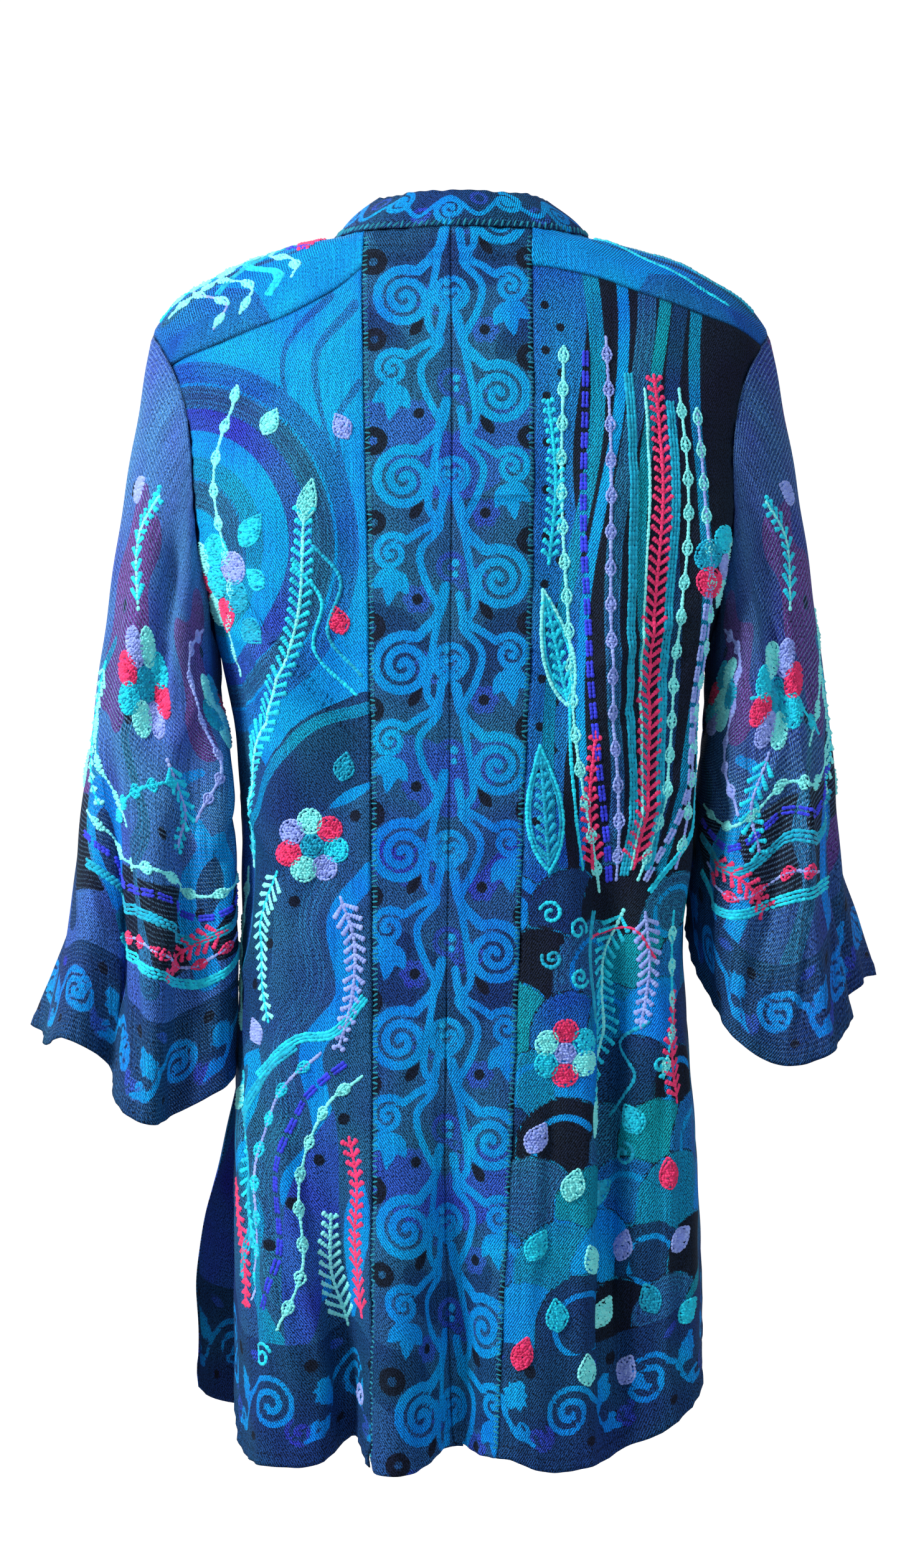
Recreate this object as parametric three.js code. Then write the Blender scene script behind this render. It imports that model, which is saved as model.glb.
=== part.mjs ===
// An open-fronted jacket with a stand collar, wide sleeves, side vents and a curved tail, cut from
// figured shawl cloth. It keeps the hollow form it takes on a standing figure, and nothing is inside it.
// Millimetres. +Z is up, the wearer faces -Y and +X is the wearer's left. The origin lies between the
// shoulders, level with the seam of the collar, where the neck and shoulders of the wearer carry it.
import * as THREE from "three";

// Driving sizes
const CLOTH = 1.6; // thickness of the wall
const SEAM_GAP = 0.5; // clear space between two pieces that are sewn together
const BACK_LENGTH = 898; // collar seam to hem, down the centre back
const UNDERARM_DROP = 307; // collar seam down to the lowest point of the armhole
const SHOULDER_DROP = 73; // collar seam down to the shoulder point, where the armhole starts
const NECK_HALF = 95; // half the width of the neckline at the sides
const SHOULDER_HALF = 233; // half the width across the shoulder points
const FRONT_NECK_DROP = 95; // collar seam down to the foot of the front neckline
const FRONT_GAP_TOP = 8; // from the centre line to each front edge, at the neckline
const FRONT_GAP_HEM = 34; // and at the hem
const COLLAR_HEIGHT = 29; // rise of the stand collar at the centre back
const VENT_TOP = 610; // collar seam down to the top of each side vent
const ARMHOLE_CUT = 0.33; // how far the armhole cuts in from the side line, in radians at mid height

// How finely each piece is divided
const STRIP_COLUMNS = 3;
const SIDE_COLUMNS = 12;
const UPPER_ROWS = 11;
const LOWER_ROWS = 19;
const YOKE_ROWS = 4;
const NECK_ROWS = 5; // of the upper rows, those that run to the neckline in front
const SLEEVE_ROWS = 16;
const COLLAR_ROWS = 2;

const DEG = Math.PI / 180;
const SIDE_LINE = Math.PI / 2; // the direction of the side seam, seen from above

// Level sections of the body: half widths to the wearer's left and right, depths of the back and front
// from the shoulder line, and how square the section is (2 is an ellipse).
const BODY_FORM = [
  { z: 40, left: 60, right: 60, back: 50, front: 50, square: 2.0 },
  { z: 0, left: 95, right: 95, back: 62, front: 60, square: 2.0 },
  { z: -9, left: 133, right: 130, back: 65, front: 63, square: 2.0 },
  { z: -21, left: 166, right: 166, back: 69, front: 66, square: 2.0 },
  { z: -34, left: 194, right: 194, back: 73, front: 69, square: 2.05 },
  { z: -44, left: 210, right: 208, back: 76, front: 72, square: 2.1 },
  { z: -58, left: 223, right: 221, back: 81, front: 76, square: 2.15 },
  { z: -73, left: 233, right: 231, back: 86, front: 80, square: 2.2 },
  { z: -100, left: 237, right: 235, back: 93, front: 88, square: 2.3 },
  { z: -150, left: 231, right: 231, back: 103, front: 104, square: 2.5 },
  { z: -200, left: 220, right: 221, back: 109, front: 118, square: 2.7 },
  { z: -250, left: 203, right: 204, back: 112, front: 128, square: 2.8 },
  { z: -307, left: 183, right: 184, back: 113, front: 132, square: 2.9 },
  { z: -360, left: 171, right: 172, back: 113, front: 133, square: 3.0 },
  { z: -450, left: 165, right: 168, back: 112, front: 133, square: 3.0 },
  { z: -530, left: 165, right: 165, back: 113, front: 132, square: 3.0 },
  { z: -600, left: 168, right: 169, back: 114, front: 131, square: 3.0 },
  { z: -700, left: 170, right: 176, back: 116, front: 130, square: 2.9 },
  { z: -800, left: 170, right: 179, back: 118, front: 129, square: 2.9 },
  { z: -930, left: 170, right: 180, back: 121, front: 128, square: 2.9 },
];

// Soft folds that run down the body. Angles are in degrees round from the centre back, positive towards
// the wearer's left. A fold grows from start to full and lasts until end. Height is out of the cloth, so
// a trough is negative, and width is its half breadth. One with a half is only on that side of the vents.
const BODY_FOLDS = [
  // Back
  { name: "left shoulder blade edge", top: 60, foot: 54, start: -130, full: -260, end: -640, height: 8, width: 20 },
  { name: "left side hollow", top: 76, foot: 73, start: -200, full: -330, end: -560, height: -7, width: 17 },
  { name: "right shoulder blade edge", top: -66, foot: -67, start: -150, full: -250, end: -560, height: 13, width: 17 },
  { name: "right back trough", top: -42, foot: -49, start: -380, full: -560, end: -960, height: -27, width: 17 },
  { name: "right side swell", top: -58, foot: -66, start: -480, full: -640, end: -960, height: 7, width: 22 },
  { name: "centre trough", top: 3, foot: 1, start: -560, full: -860, end: -1300, height: -28, width: 17 },
  { name: "tail lobe", top: 22, foot: 23, start: -600, full: -820, end: -1300, height: 11, width: 18 },
  { name: "left back trough", top: 44, foot: 37, start: -600, full: -850, end: -1300, height: -31, width: 14 },
  { name: "left tail lobe", top: 56, foot: 57, start: -640, full: -850, end: -1300, height: 9, width: 18 },
  { name: "right tail lobe", top: -20, foot: -22, start: -640, full: -860, end: -1300, height: 8, width: 20 },
  { name: "right blade wave", top: -30, foot: -33, start: -110, full: -230, end: -430, height: -5, width: 15 },
  { name: "left blade wave", top: 41, foot: 36, start: -120, full: -240, end: -460, height: -4, width: 15 },
  { name: "right blade crest", top: -50, foot: -46, start: -120, full: -220, end: -460, height: 4, width: 14 },
  // Front, which hangs from the chest
  { name: "left chest trough", top: 128, foot: 132, start: -330, full: -560, end: -1300, height: -17, width: 18 },
  { name: "left front crest", top: 146, foot: 149, start: -330, full: -600, end: -1300, height: 9, width: 20 },
  { name: "left front side trough", top: 108, foot: 111, start: -420, full: -640, end: -1300, height: -12, width: 15 },
  { name: "left front flare", top: 92, foot: 92, start: -612, full: -800, end: -1300, height: 34, width: 42, half: "front" },
  { name: "right chest trough", top: -130, foot: -127, start: -310, full: -560, end: -1300, height: -15, width: 17 },
  { name: "right front crest", top: -148, foot: -146, start: -360, full: -620, end: -1300, height: 10, width: 19 },
  { name: "right front side trough", top: -107, foot: -109, start: -450, full: -660, end: -1300, height: -10, width: 14 },
];

// The strips down the centre back, seen from behind: the edge of the wearer's left strip, the seam
// between the strips, and the edge of the right strip, as distances from the centre line.
const CENTRE_STRIPS = [
  { z: 0, leftEdge: 72, seam: 8, rightEdge: -52 },
  { z: -30, leftEdge: 73, seam: 8, rightEdge: -51 },
  { z: -150, leftEdge: 70, seam: 7, rightEdge: -52 },
  { z: -290, leftEdge: 67, seam: 8, rightEdge: -50 },
  { z: -430, leftEdge: 65, seam: 9, rightEdge: -44 },
  { z: -560, leftEdge: 64, seam: 11, rightEdge: -40 },
  { z: -700, leftEdge: 64, seam: 12, rightEdge: -34 },
  { z: -810, leftEdge: 65, seam: 9, rightEdge: -28 },
  { z: -930, leftEdge: 66, seam: 5, rightEdge: -24 },
];

// The front pieces pass over the shoulders to a seam on the back. It starts beside the centre strips and
// ends in the armhole, and bow above 1 lets it drop late.
const YOKE_SEAM_START = -30;
const YOKE_SEAM = {
  left: { end: -100, bow: 1.0 },
  right: { end: -84, bow: 2.4 },
};

// The hem: how far each corner at the vents rises, how much of the width that takes, and where the tail
// lifts over a fold (angle and half breadth in degrees).
const HEM_CORNERS = {
  back: { left: { rise: 150, share: 0.25 }, right: { rise: 150, share: 0.68 } },
  front: { left: { rise: 40, share: 0.35 }, right: { rise: 110, share: 0.5 } },
};
const HEM_LIFTS = [
  { angle: 37, rise: 18, breadth: 6 },
  { angle: 3, rise: 15, breadth: 8 },
  { angle: -14, rise: 11, breadth: 10 },
  { angle: 128, rise: 8, breadth: 8 },
  { angle: -128, rise: 8, breadth: 8 },
];

// Rings of the sleeves, from the armhole to the cuff. A ring has its centre, the step from there to its
// outer point (outX, outZ) and the step to its back point (backY, backZ). X runs away from the body.
const SLEEVE_RINGS = {
  left: [
    { t: 0, x: 207, y: 0, z: -190, outX: 26, outZ: 117, backY: 66, backZ: 0 },
    { t: 0.3, x: 218, y: 2, z: -292, outX: 38, outZ: 80, backY: 72, backZ: -6 },
    { t: 0.6, x: 229, y: 0, z: -415, outX: 51, outZ: 34, backY: 73, backZ: -18 },
    { t: 0.85, x: 237, y: -4, z: -540, outX: 61, outZ: 9, backY: 75, backZ: -28 },
    { t: 1, x: 246, y: -6, z: -612, outX: 69, outZ: 2, backY: 78, backZ: -36 },
  ],
  right: [
    { t: 0, x: 207, y: 0, z: -190, outX: 26, outZ: 117, backY: 66, backZ: 0 },
    { t: 0.3, x: 219, y: 2, z: -285, outX: 37, outZ: 76, backY: 70, backZ: -8 },
    { t: 0.6, x: 226, y: 0, z: -392, outX: 50, outZ: 30, backY: 70, backZ: -22 },
    { t: 0.85, x: 229, y: -4, z: -492, outX: 58, outZ: 2, backY: 74, backZ: -36 },
    { t: 1, x: 236, y: -6, z: -560, outX: 66, outZ: -16, backY: 78, backZ: -48 },
  ],
};

// Folds of the sleeves. Angles are in degrees round from the outer line: 90 is the back, 180 the inside.
const SLEEVE_FOLDS = {
  left: [
    { name: "cuff point", top: -14, foot: -14, start: 0.8, full: 1, end: 2, height: 15, width: 11 },
    { name: "outer trough", top: 46, foot: 70, start: 0.5, full: 0.86, end: 2, height: -32, width: 17 },
    { name: "back lobe", top: 94, foot: 104, start: 0.45, full: 0.8, end: 2, height: 10, width: 20 },
    { name: "inner trough", top: 122, foot: 118, start: 0.42, full: 0.68, end: 2, height: -11, width: 12 },
    { name: "armhole drag", top: 98, foot: 88, start: 0.04, full: 0.2, end: 0.55, height: -9, width: 14 },
    { name: "inner lobe", top: 152, foot: 148, start: 0.12, full: 0.45, end: 2, height: 22, width: 22 },
    { name: "upper crest", top: 58, foot: 62, start: 0.05, full: 0.25, end: 0.6, height: 6, width: 15 },
    { name: "front trough", top: 292, foot: 286, start: 0.3, full: 0.6, end: 2, height: -10, width: 15 },
    { name: "front crest", top: 250, foot: 246, start: 0.3, full: 0.6, end: 2, height: 7, width: 16 },
  ],
  right: [
    { name: "cuff point", top: -12, foot: -12, start: 0.8, full: 1, end: 2, height: 15, width: 11 },
    { name: "pressed crease", top: 64, foot: 62, start: 0.4, full: 0.7, end: 2, height: 7, width: 9 },
    { name: "back hollow", top: 92, foot: 94, start: 0.5, full: 0.85, end: 2, height: -7, width: 16 },
    { name: "inner crest", top: 122, foot: 120, start: 0.3, full: 0.55, end: 2, height: 6, width: 15 },
    { name: "armhole drag", top: 84, foot: 78, start: 0.04, full: 0.2, end: 0.6, height: -9, width: 13 },
    { name: "outer trough", top: 24, foot: 22, start: 0.6, full: 0.95, end: 2, height: -15, width: 11 },
    { name: "front trough", top: 296, foot: 290, start: 0.3, full: 0.6, end: 2, height: -9, width: 15 },
    { name: "front crest", top: 254, foot: 250, start: 0.3, full: 0.6, end: 2, height: 7, width: 16 },
  ],
};

// Colours, roughness and metalness of the cloths
const finish = (color) => new THREE.MeshStandardMaterial({ color, roughness: 0.85, metalness: 0 });
const SCROLL_NAVY = finish(0x1d3f63);
const BRIGHT_BLUE = finish(0x1577a8);
const DEEP_TEAL = finish(0x18526c);
const SLEEVE_BLUE = finish(0x2c4f7c);

const mix = (a, b, t) => a + (b - a) * t;
const clamp01 = (t) => Math.min(1, Math.max(0, t));
const ease = (t) => clamp01(t) ** 2 * (3 - 2 * clamp01(t));
const sideName = (angle) => (angle >= 0 ? "left" : "right");
const onBack = (angle) => Math.abs(angle) < SIDE_LINE;
const evenly = (n) => Array.from({ length: n + 1 }, (_, i) => i / n);

// Reads a column of a table at any key, on a smooth curve through its rows.
function readTable(rows, key, at, column) {
  const up = rows[0][key] < rows[rows.length - 1][key] ? rows : [...rows].reverse();
  const last = up.length - 1;
  let i = 0;
  while (i < last - 1 && at > up[i + 1][key]) i++;
  const slope = (k) => {
    const a = up[Math.max(k - 1, 0)];
    const b = up[Math.min(k + 1, last)];
    return (b[column] - a[column]) / (b[key] - a[key]);
  };
  const span = up[i + 1][key] - up[i][key];
  const t = clamp01((at - up[i][key]) / span);
  const h = t * t * (3 - 2 * t);
  const bend = span * (t * (1 - t) ** 2 * slope(i) - t * t * (1 - t) * slope(i + 1));
  return mix(up[i][column], up[i + 1][column], h) + bend;
}

// The edge of each cuff lifts where the cloth turns in over the forearm. Angles as above.
const CUFF_LIFTS = {
  left: [
    { angle: 50, rise: 41, breadth: 28 },
    { angle: 0, rise: 9, breadth: 26 },
    { angle: 113, rise: -11, breadth: 26 },
    { angle: 180, rise: 14, breadth: 40 },
  ],
  right: [
    { angle: 8, rise: 22, breadth: 22 },
    { angle: 42, rise: 15, breadth: 20 },
    { angle: 100, rise: -8, breadth: 24 },
    { angle: 180, rise: 20, breadth: 42 },
  ],
};

// How far folds push the cloth out where it is `across` radians round and `along` its length.
function foldHeight(folds, across, along, radius) {
  const downward = folds[0].end < 0 ? -1 : 1;
  let sum = 0;
  for (const f of folds) {
    if (f.half === "front" && onBack(across)) continue;
    const grow = ease((along - f.start) / (f.full - f.start));
    if (grow === 0) continue;
    const fade = 1 - ease(((along - f.end) * downward) / Math.abs(0.25 * (f.end - f.start)) + 1);
    const lean = clamp01((along - f.start) / (f.full - f.start));
    let turn = across - mix(f.top, f.foot, lean) * DEG;
    turn -= 2 * Math.PI * Math.round(turn / (2 * Math.PI));
    sum += f.height * grow * fade * Math.exp(-(((turn * radius) / f.width) ** 2));
  }
  return sum;
}

// The plain section of the body at a height: its half width, depth, squareness and radius there.
function bodySection(angle, z) {
  const width = readTable(BODY_FORM, "z", z, sideName(angle));
  const depth = readTable(BODY_FORM, "z", z, onBack(angle) ? "back" : "front");
  const square = readTable(BODY_FORM, "z", z, "square");
  const sx = Math.abs(Math.sin(angle)) / width;
  const sy = Math.abs(Math.cos(angle)) / depth;
  return { width, depth, square, radius: (sx ** square + sy ** square) ** (-1 / square) };
}

// A point of the body's outer surface, from its direction round the body and its height.
function bodyPoint(angle, z) {
  const { width, depth, square, radius } = bodySection(angle, z);
  const x = radius * Math.sin(angle);
  const y = radius * Math.cos(angle);
  const nx = Math.sign(x) * (Math.abs(x) / width) ** (square - 1) / width;
  const ny = Math.sign(y) * (Math.abs(y) / depth) ** (square - 1) / depth;
  const out = foldHeight(BODY_FOLDS, angle, z, radius) / Math.hypot(nx, ny);
  return new THREE.Vector3(x + nx * out, y + ny * out, z);
}

// The direction in which the back surface lies a given distance from the centre line.
function angleAcross(x, z) {
  let low = 0;
  let high = SIDE_LINE;
  for (let i = 0; i < 40; i++) {
    const middle = (low + high) / 2;
    const signed = x < 0 ? -middle : middle;
    if (bodySection(signed, z).radius * Math.sin(middle) < Math.abs(x)) low = middle;
    else high = middle;
  }
  return x < 0 ? -low : low;
}

// A seam of the centre strips, as a direction at each height.
const stripAngle = (line, z) => angleAcross(readTable(CENTRE_STRIPS, "z", z, line), z);

// The front edge, as a direction on the wearer's left; the right is its mirror image.
function frontEdgeAngle(z) {
  const gap = mix(FRONT_GAP_TOP, FRONT_GAP_HEM, ease((-z - FRONT_NECK_DROP) / (BACK_LENGTH - FRONT_NECK_DROP)));
  return Math.PI - Math.atan(gap / readTable(BODY_FORM, "z", z, "front"));
}

// The neckline: level round the back and sides, then dropping to the front edges.
function necklineZ(angle) {
  const forward = Math.abs(angle) - SIDE_LINE;
  if (forward <= 0) return 0;
  const share = clamp01(forward / (frontEdgeAngle(-FRONT_NECK_DROP) - SIDE_LINE));
  return -FRONT_NECK_DROP * share ** 1.6;
}

// The hem, with raised corners at the vents and lifts over the deepest folds.
function hemZ(angle) {
  const corner = HEM_CORNERS[onBack(angle) ? "back" : "front"][sideName(angle)];
  const fromSide = Math.abs(Math.abs(angle) - SIDE_LINE) / SIDE_LINE;
  const round = clamp01(1 - fromSide / corner.share);
  let rise = corner.rise * (1 - Math.sqrt(1 - round ** 2));
  for (const lift of HEM_LIFTS) {
    rise += lift.rise * Math.exp(-(((angle / DEG - lift.angle) / lift.breadth) ** 2));
  }
  return -BACK_LENGTH + rise;
}

// The armhole, as a height and a direction. The turn is 0 at the shoulder point, half a circle at the
// underarm, and less than that on the back.
const ARMHOLE_MIDDLE = -(SHOULDER_DROP + UNDERARM_DROP) / 2;
const ARMHOLE_HALF = (UNDERARM_DROP - SHOULDER_DROP) / 2;
const armholeZ = (turn) => ARMHOLE_MIDDLE + ARMHOLE_HALF * Math.cos(turn);
const armholeAngle = (turn) => SIDE_LINE - ARMHOLE_CUT * Math.sin(turn);
const armholeTurn = (z) => Math.acos(Math.min(1, Math.max(-1, (z - ARMHOLE_MIDDLE) / ARMHOLE_HALF)));

// The side edges below the underarm. Under the vent's top the back and front edges draw apart.
const ventOpen = (z) => ease((-z - VENT_TOP) / (BACK_LENGTH - VENT_TOP - 60));
const backSideAngle = (z) => SIDE_LINE - 0.09 * ventOpen(z);
const frontSideAngle = (z) => SIDE_LINE + 0.1 * ventOpen(z);

// The crest of the shoulder, as heights that part it evenly between neck and shoulder point.
function crestZ(share) {
  const reach = mix(NECK_HALF, SHOULDER_HALF, share);
  let high = 0;
  let low = -SHOULDER_DROP;
  for (let i = 0; i < 40; i++) {
    const middle = (high + low) / 2;
    if (readTable(BODY_FORM, "z", middle, "left") < reach) high = middle;
    else low = middle;
  }
  return share === 1 ? -SHOULDER_DROP : low;
}

// The height of the seam that joins the front piece to the back, at a share of the way to the armhole.
function yokeSeamZ(side, share) {
  const seam = YOKE_SEAM[side];
  return mix(YOKE_SEAM_START, seam.end, share ** seam.bow);
}

// Rows crowd towards the underarm, where the armhole turns in.
const upperShares = evenly(UPPER_ROWS).map((t) => 1 - (1 - t) ** 1.5);

// A piece of the body is a net of places, each a direction and a height. Its rows run down the piece.
const place = (angle, z) => ({ angle, z });

// The wearer's left is built with positive directions, and the right with the same steps mirrored.
function stripNet(side) {
  const edge = side === "left" ? "leftEdge" : "rightEdge";
  const row = (z) =>
    evenly(STRIP_COLUMNS).map((s) => place(mix(stripAngle("seam", z(0)), stripAngle(edge, z(1)), s), z(s)));
  const rows = [row(() => 0)];
  for (const v of upperShares) rows.push(row(() => mix(YOKE_SEAM_START, -UNDERARM_DROP, v)));
  for (const v of evenly(LOWER_ROWS).slice(1)) {
    const lowest = (s) => hemZ(mix(stripAngle("seam", -BACK_LENGTH), stripAngle(edge, -BACK_LENGTH), s));
    rows.push(row((s) => mix(-UNDERARM_DROP, lowest(s), v)));
  }
  return rows;
}

function backSideNet(side) {
  const sign = side === "left" ? 1 : -1;
  const edge = side === "left" ? "leftEdge" : "rightEdge";
  const rows = upperShares.map((v) =>
    evenly(SIDE_COLUMNS).map((s) => {
      const z = mix(yokeSeamZ(side, s), -UNDERARM_DROP, v);
      const turn = armholeTurn(mix(yokeSeamZ(side, 1), -UNDERARM_DROP, v));
      return place(mix(stripAngle(edge, z), sign * armholeAngle(turn), s), z);
    }),
  );
  for (const v of evenly(LOWER_ROWS).slice(1)) {
    rows.push(
      evenly(SIDE_COLUMNS).map((s) => {
        const inner = stripAngle(edge, -BACK_LENGTH);
        const lowest = hemZ(mix(inner, sign * 0.9999 * SIDE_LINE, s));
        const z = mix(-UNDERARM_DROP, lowest, v);
        return place(mix(stripAngle(edge, z), sign * backSideAngle(z), s), z);
      }),
    );
  }
  return rows;
}

// A place on the front neckline, at a share of the way from the crest to the front edge.
function necklinePlace(share) {
  const angle = mix(SIDE_LINE, frontEdgeAngle(-FRONT_NECK_DROP), share);
  return place(angle, necklineZ(angle));
}

// Fills the inside of a four-sided patch from its edges: top and foot by share across, near and far by
// share down.
function fillPatch(top, foot, near, far, s, v) {
  const one = (k) =>
    mix(top(s)[k], foot(s)[k], v) +
    mix(near(v)[k], far(v)[k], s) -
    mix(mix(near(0)[k], far(0)[k], s), mix(near(1)[k], far(1)[k], s), v);
  return place(one("angle"), one("z"));
}

function frontNet(side) {
  const sign = side === "left" ? 1 : -1;
  const edge = side === "left" ? "leftEdge" : "rightEdge";
  const seam = (s) => {
    const z = yokeSeamZ(side, s);
    const turn = armholeTurn(yokeSeamZ(side, 1));
    return place(mix(stripAngle(edge, z) * sign, armholeAngle(turn), s), z);
  };
  const crest = (s) => place(SIDE_LINE, crestZ(s));
  const stripTop = stripAngle(edge, 0) * sign;
  // Beside the strip up to the collar, then along the collar seam to the crest.
  const turnAt = 1 / YOKE_ROWS;
  const yokeNear = (v) =>
    v <= turnAt
      ? place(mix(seam(0).angle, stripTop, v / turnAt), mix(YOKE_SEAM_START, 0, v / turnAt))
      : place(mix(stripTop, SIDE_LINE, (v - turnAt) / (1 - turnAt)), 0);
  const yokeFar = (v) => {
    const turn = armholeTurn(yokeSeamZ(side, 1)) * (1 - v);
    return place(armholeAngle(turn), armholeZ(turn));
  };
  const rows = evenly(YOKE_ROWS).map((v) =>
    evenly(SIDE_COLUMNS).map((s) => fillPatch(seam, crest, yokeNear, yokeFar, s, v)),
  );
  // Down the neckline, then down the front edge.
  const neckShare = NECK_ROWS / UPPER_ROWS;
  const frontNear = (v) => {
    if (v <= neckShare) return necklinePlace(v / neckShare);
    const z = mix(-FRONT_NECK_DROP, -UNDERARM_DROP, (v - neckShare) / (1 - neckShare));
    return place(frontEdgeAngle(z), z);
  };
  const frontFar = (v) => place(armholeAngle(-Math.PI * v), armholeZ(Math.PI * v));
  const underarmLine = (s) => place(mix(frontEdgeAngle(-UNDERARM_DROP), SIDE_LINE, s), -UNDERARM_DROP);
  for (const v of evenly(UPPER_ROWS).slice(1)) {
    rows.push(evenly(SIDE_COLUMNS).map((s) => fillPatch(crest, underarmLine, frontNear, frontFar, s, v)));
  }
  for (const v of evenly(LOWER_ROWS).slice(1)) {
    rows.push(
      evenly(SIDE_COLUMNS).map((s) => {
        const lowest = hemZ(sign * mix(frontEdgeAngle(-BACK_LENGTH), SIDE_LINE, s));
        const z = mix(-UNDERARM_DROP, lowest, v);
        return place(mix(frontEdgeAngle(z), frontSideAngle(z), s), z);
      }),
    );
  }
  return rows.map((row) => row.map((p) => place(sign * p.angle, p.z)));
}

// A point of a sleeve's outer surface: the turn round it and the share of its length.
function sleevePoint(side, turn, t) {
  const sign = side === "left" ? 1 : -1;
  const rings = SLEEVE_RINGS[side];
  const read = (column) => readTable(rings, "t", t, column);
  const ring = (get) =>
    new THREE.Vector3(
      sign * (get("x") + get("outX") * Math.cos(turn)),
      get("y") + get("backY") * Math.sin(turn),
      get("z") + get("outZ") * Math.cos(turn) + get("backZ") * Math.sin(turn),
    );
  const point = ring(read);
  // The first ring is the armhole itself, and the pull towards it dies away down the sleeve.
  const pull = (1 - clamp01(t / 0.4)) ** 2;
  if (pull > 0) {
    const hole = bodyPoint(sign * armholeAngle(turn), armholeZ(turn));
    point.addScaledVector(hole.sub(ring((column) => rings[0][column])), pull);
  }
  for (const lift of CUFF_LIFTS[side]) {
    let away = turn / DEG - lift.angle;
    away -= 360 * Math.round(away / 360);
    point.z += lift.rise * ease((t - 0.5) / 0.5) * Math.exp(-((away / lift.breadth) ** 2));
  }
  const centre = new THREE.Vector3(sign * read("x"), read("y"), point.z);
  const out = point.clone().sub(centre).setZ(0);
  return point.addScaledVector(out.normalize(), foldHeight(SLEEVE_FOLDS[side], turn, t, read("backY")));
}

// The direction square to a surface, from small steps to both sides. `away` tells which side is out.
function outward(surface, a, b, stepA, stepB, away) {
  const alongA = surface(a + stepA, b).sub(surface(a - stepA, b));
  const alongB = surface(a, b + stepB).sub(surface(a, b - stepB));
  const square = alongA.cross(alongB).normalize();
  return square.dot(away) < 0 ? square.negate() : square;
}

function bodyOut(angle, z) {
  const away = new THREE.Vector3(Math.sin(angle), Math.cos(angle), 0.3);
  return outward(bodyPoint, angle, z, 0.0005, 0.1, away);
}

function sleeveOut(side, turn, t) {
  const at = Math.min(Math.max(t, 0.012), 0.99);
  const sign = side === "left" ? 1 : -1;
  const away = new THREE.Vector3(sign * Math.cos(turn), Math.sin(turn), 0);
  return outward((a, b) => sleevePoint(side, a, b), turn, at, 0.02, 0.01, away);
}

// Where the sleeve meets the body both walls share one direction of thickness, so they are mitred.
function armholeOut(side, turn) {
  const sign = side === "left" ? 1 : -1;
  const onBody = bodyOut(sign * armholeAngle(turn), armholeZ(turn));
  return onBody.add(sleeveOut(side, turn, 0)).normalize();
}

// Turns a net of points and outward directions into one closed wall. Rows and columns with a seam are
// drawn in by half the gap. A tube's last column joins its first.
function wall(points, outs, { tube = false, seams = {} }) {
  const rows = points.length;
  const columns = points[0].length;
  const net = points.map((row) => row.map((p) => p.clone()));
  const draw = (r, c, toR, toC) =>
    net[r][c].addScaledVector(points[toR][toC].clone().sub(points[r][c]).normalize(), SEAM_GAP / 2);
  for (let c = 0; c < columns; c++) {
    if (seams.top) draw(0, c, 1, c);
    if (seams.foot) draw(rows - 1, c, rows - 2, c);
  }
  for (let r = 0; r < rows; r++) {
    if (seams.near?.(r)) draw(r, 0, r, 1);
    if (seams.far?.(r)) draw(r, columns - 1, r, columns - 2);
  }
  const inner = net.map((row, r) => row.map((p, c) => p.clone().addScaledVector(outs[r][c], -CLOTH)));
  const vertices = [...net.flat(), ...inner.flat()];
  const outerAt = (r, c) => r * columns + (c % columns);
  const innerAt = (r, c) => rows * columns + outerAt(r, c);
  const faces = [];
  const quad = (a, b, c, d) => {
    const shortAC = vertices[a].distanceTo(vertices[c]) <= vertices[b].distanceTo(vertices[d]);
    if (shortAC) faces.push(a, b, c, a, c, d);
    else faces.push(a, b, d, b, c, d);
  };
  const spans = tube ? columns : columns - 1;
  for (let r = 0; r < rows - 1; r++) {
    for (let c = 0; c < spans; c++) {
      quad(outerAt(r, c), outerAt(r + 1, c), outerAt(r + 1, c + 1), outerAt(r, c + 1));
      quad(innerAt(r, c), innerAt(r, c + 1), innerAt(r + 1, c + 1), innerAt(r + 1, c));
    }
  }
  for (let c = 0; c < spans; c++) {
    quad(outerAt(0, c), outerAt(0, c + 1), innerAt(0, c + 1), innerAt(0, c));
    quad(outerAt(rows - 1, c + 1), outerAt(rows - 1, c), innerAt(rows - 1, c), innerAt(rows - 1, c + 1));
  }
  for (let r = 0; r < rows - 1 && !tube; r++) {
    quad(outerAt(r + 1, 0), outerAt(r, 0), innerAt(r, 0), innerAt(r + 1, 0));
    quad(outerAt(r, columns - 1), outerAt(r + 1, columns - 1), innerAt(r + 1, columns - 1), innerAt(r, columns - 1));
  }
  return new THREE.BufferGeometry()
    .setFromPoints(vertices)
    .setIndex(faces);
}

// The rows of a wall run down it and its columns run from the wearer's left to the right across the
// back, so a net that runs the other way is turned round.
const mirrorColumns = (rows) => rows.map((row) => [...row].reverse());

// Lays a net of places on the body and gives it its thickness. `armholeRows` are the rows whose far end
// lies on the armhole.
function bodyPiece(side, net, armholeRows, seams) {
  const points = net.map((row) => row.map((p) => bodyPoint(p.angle, p.z)));
  const outs = net.map((row, r) =>
    row.map((p, c) => {
      if (!armholeRows(r) || c < row.length - 1) return bodyOut(p.angle, p.z);
      const turn = armholeTurn(p.z);
      return armholeOut(side, onBack(p.angle) ? turn : -turn);
    }),
  );
  const hem = net.at(-1);
  if (hem[0].angle > hem.at(-1).angle) return wall(points, outs, { seams });
  return wall(mirrorColumns(points), mirrorColumns(outs), { seams: { ...seams, near: seams.far, far: seams.near } });
}

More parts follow.
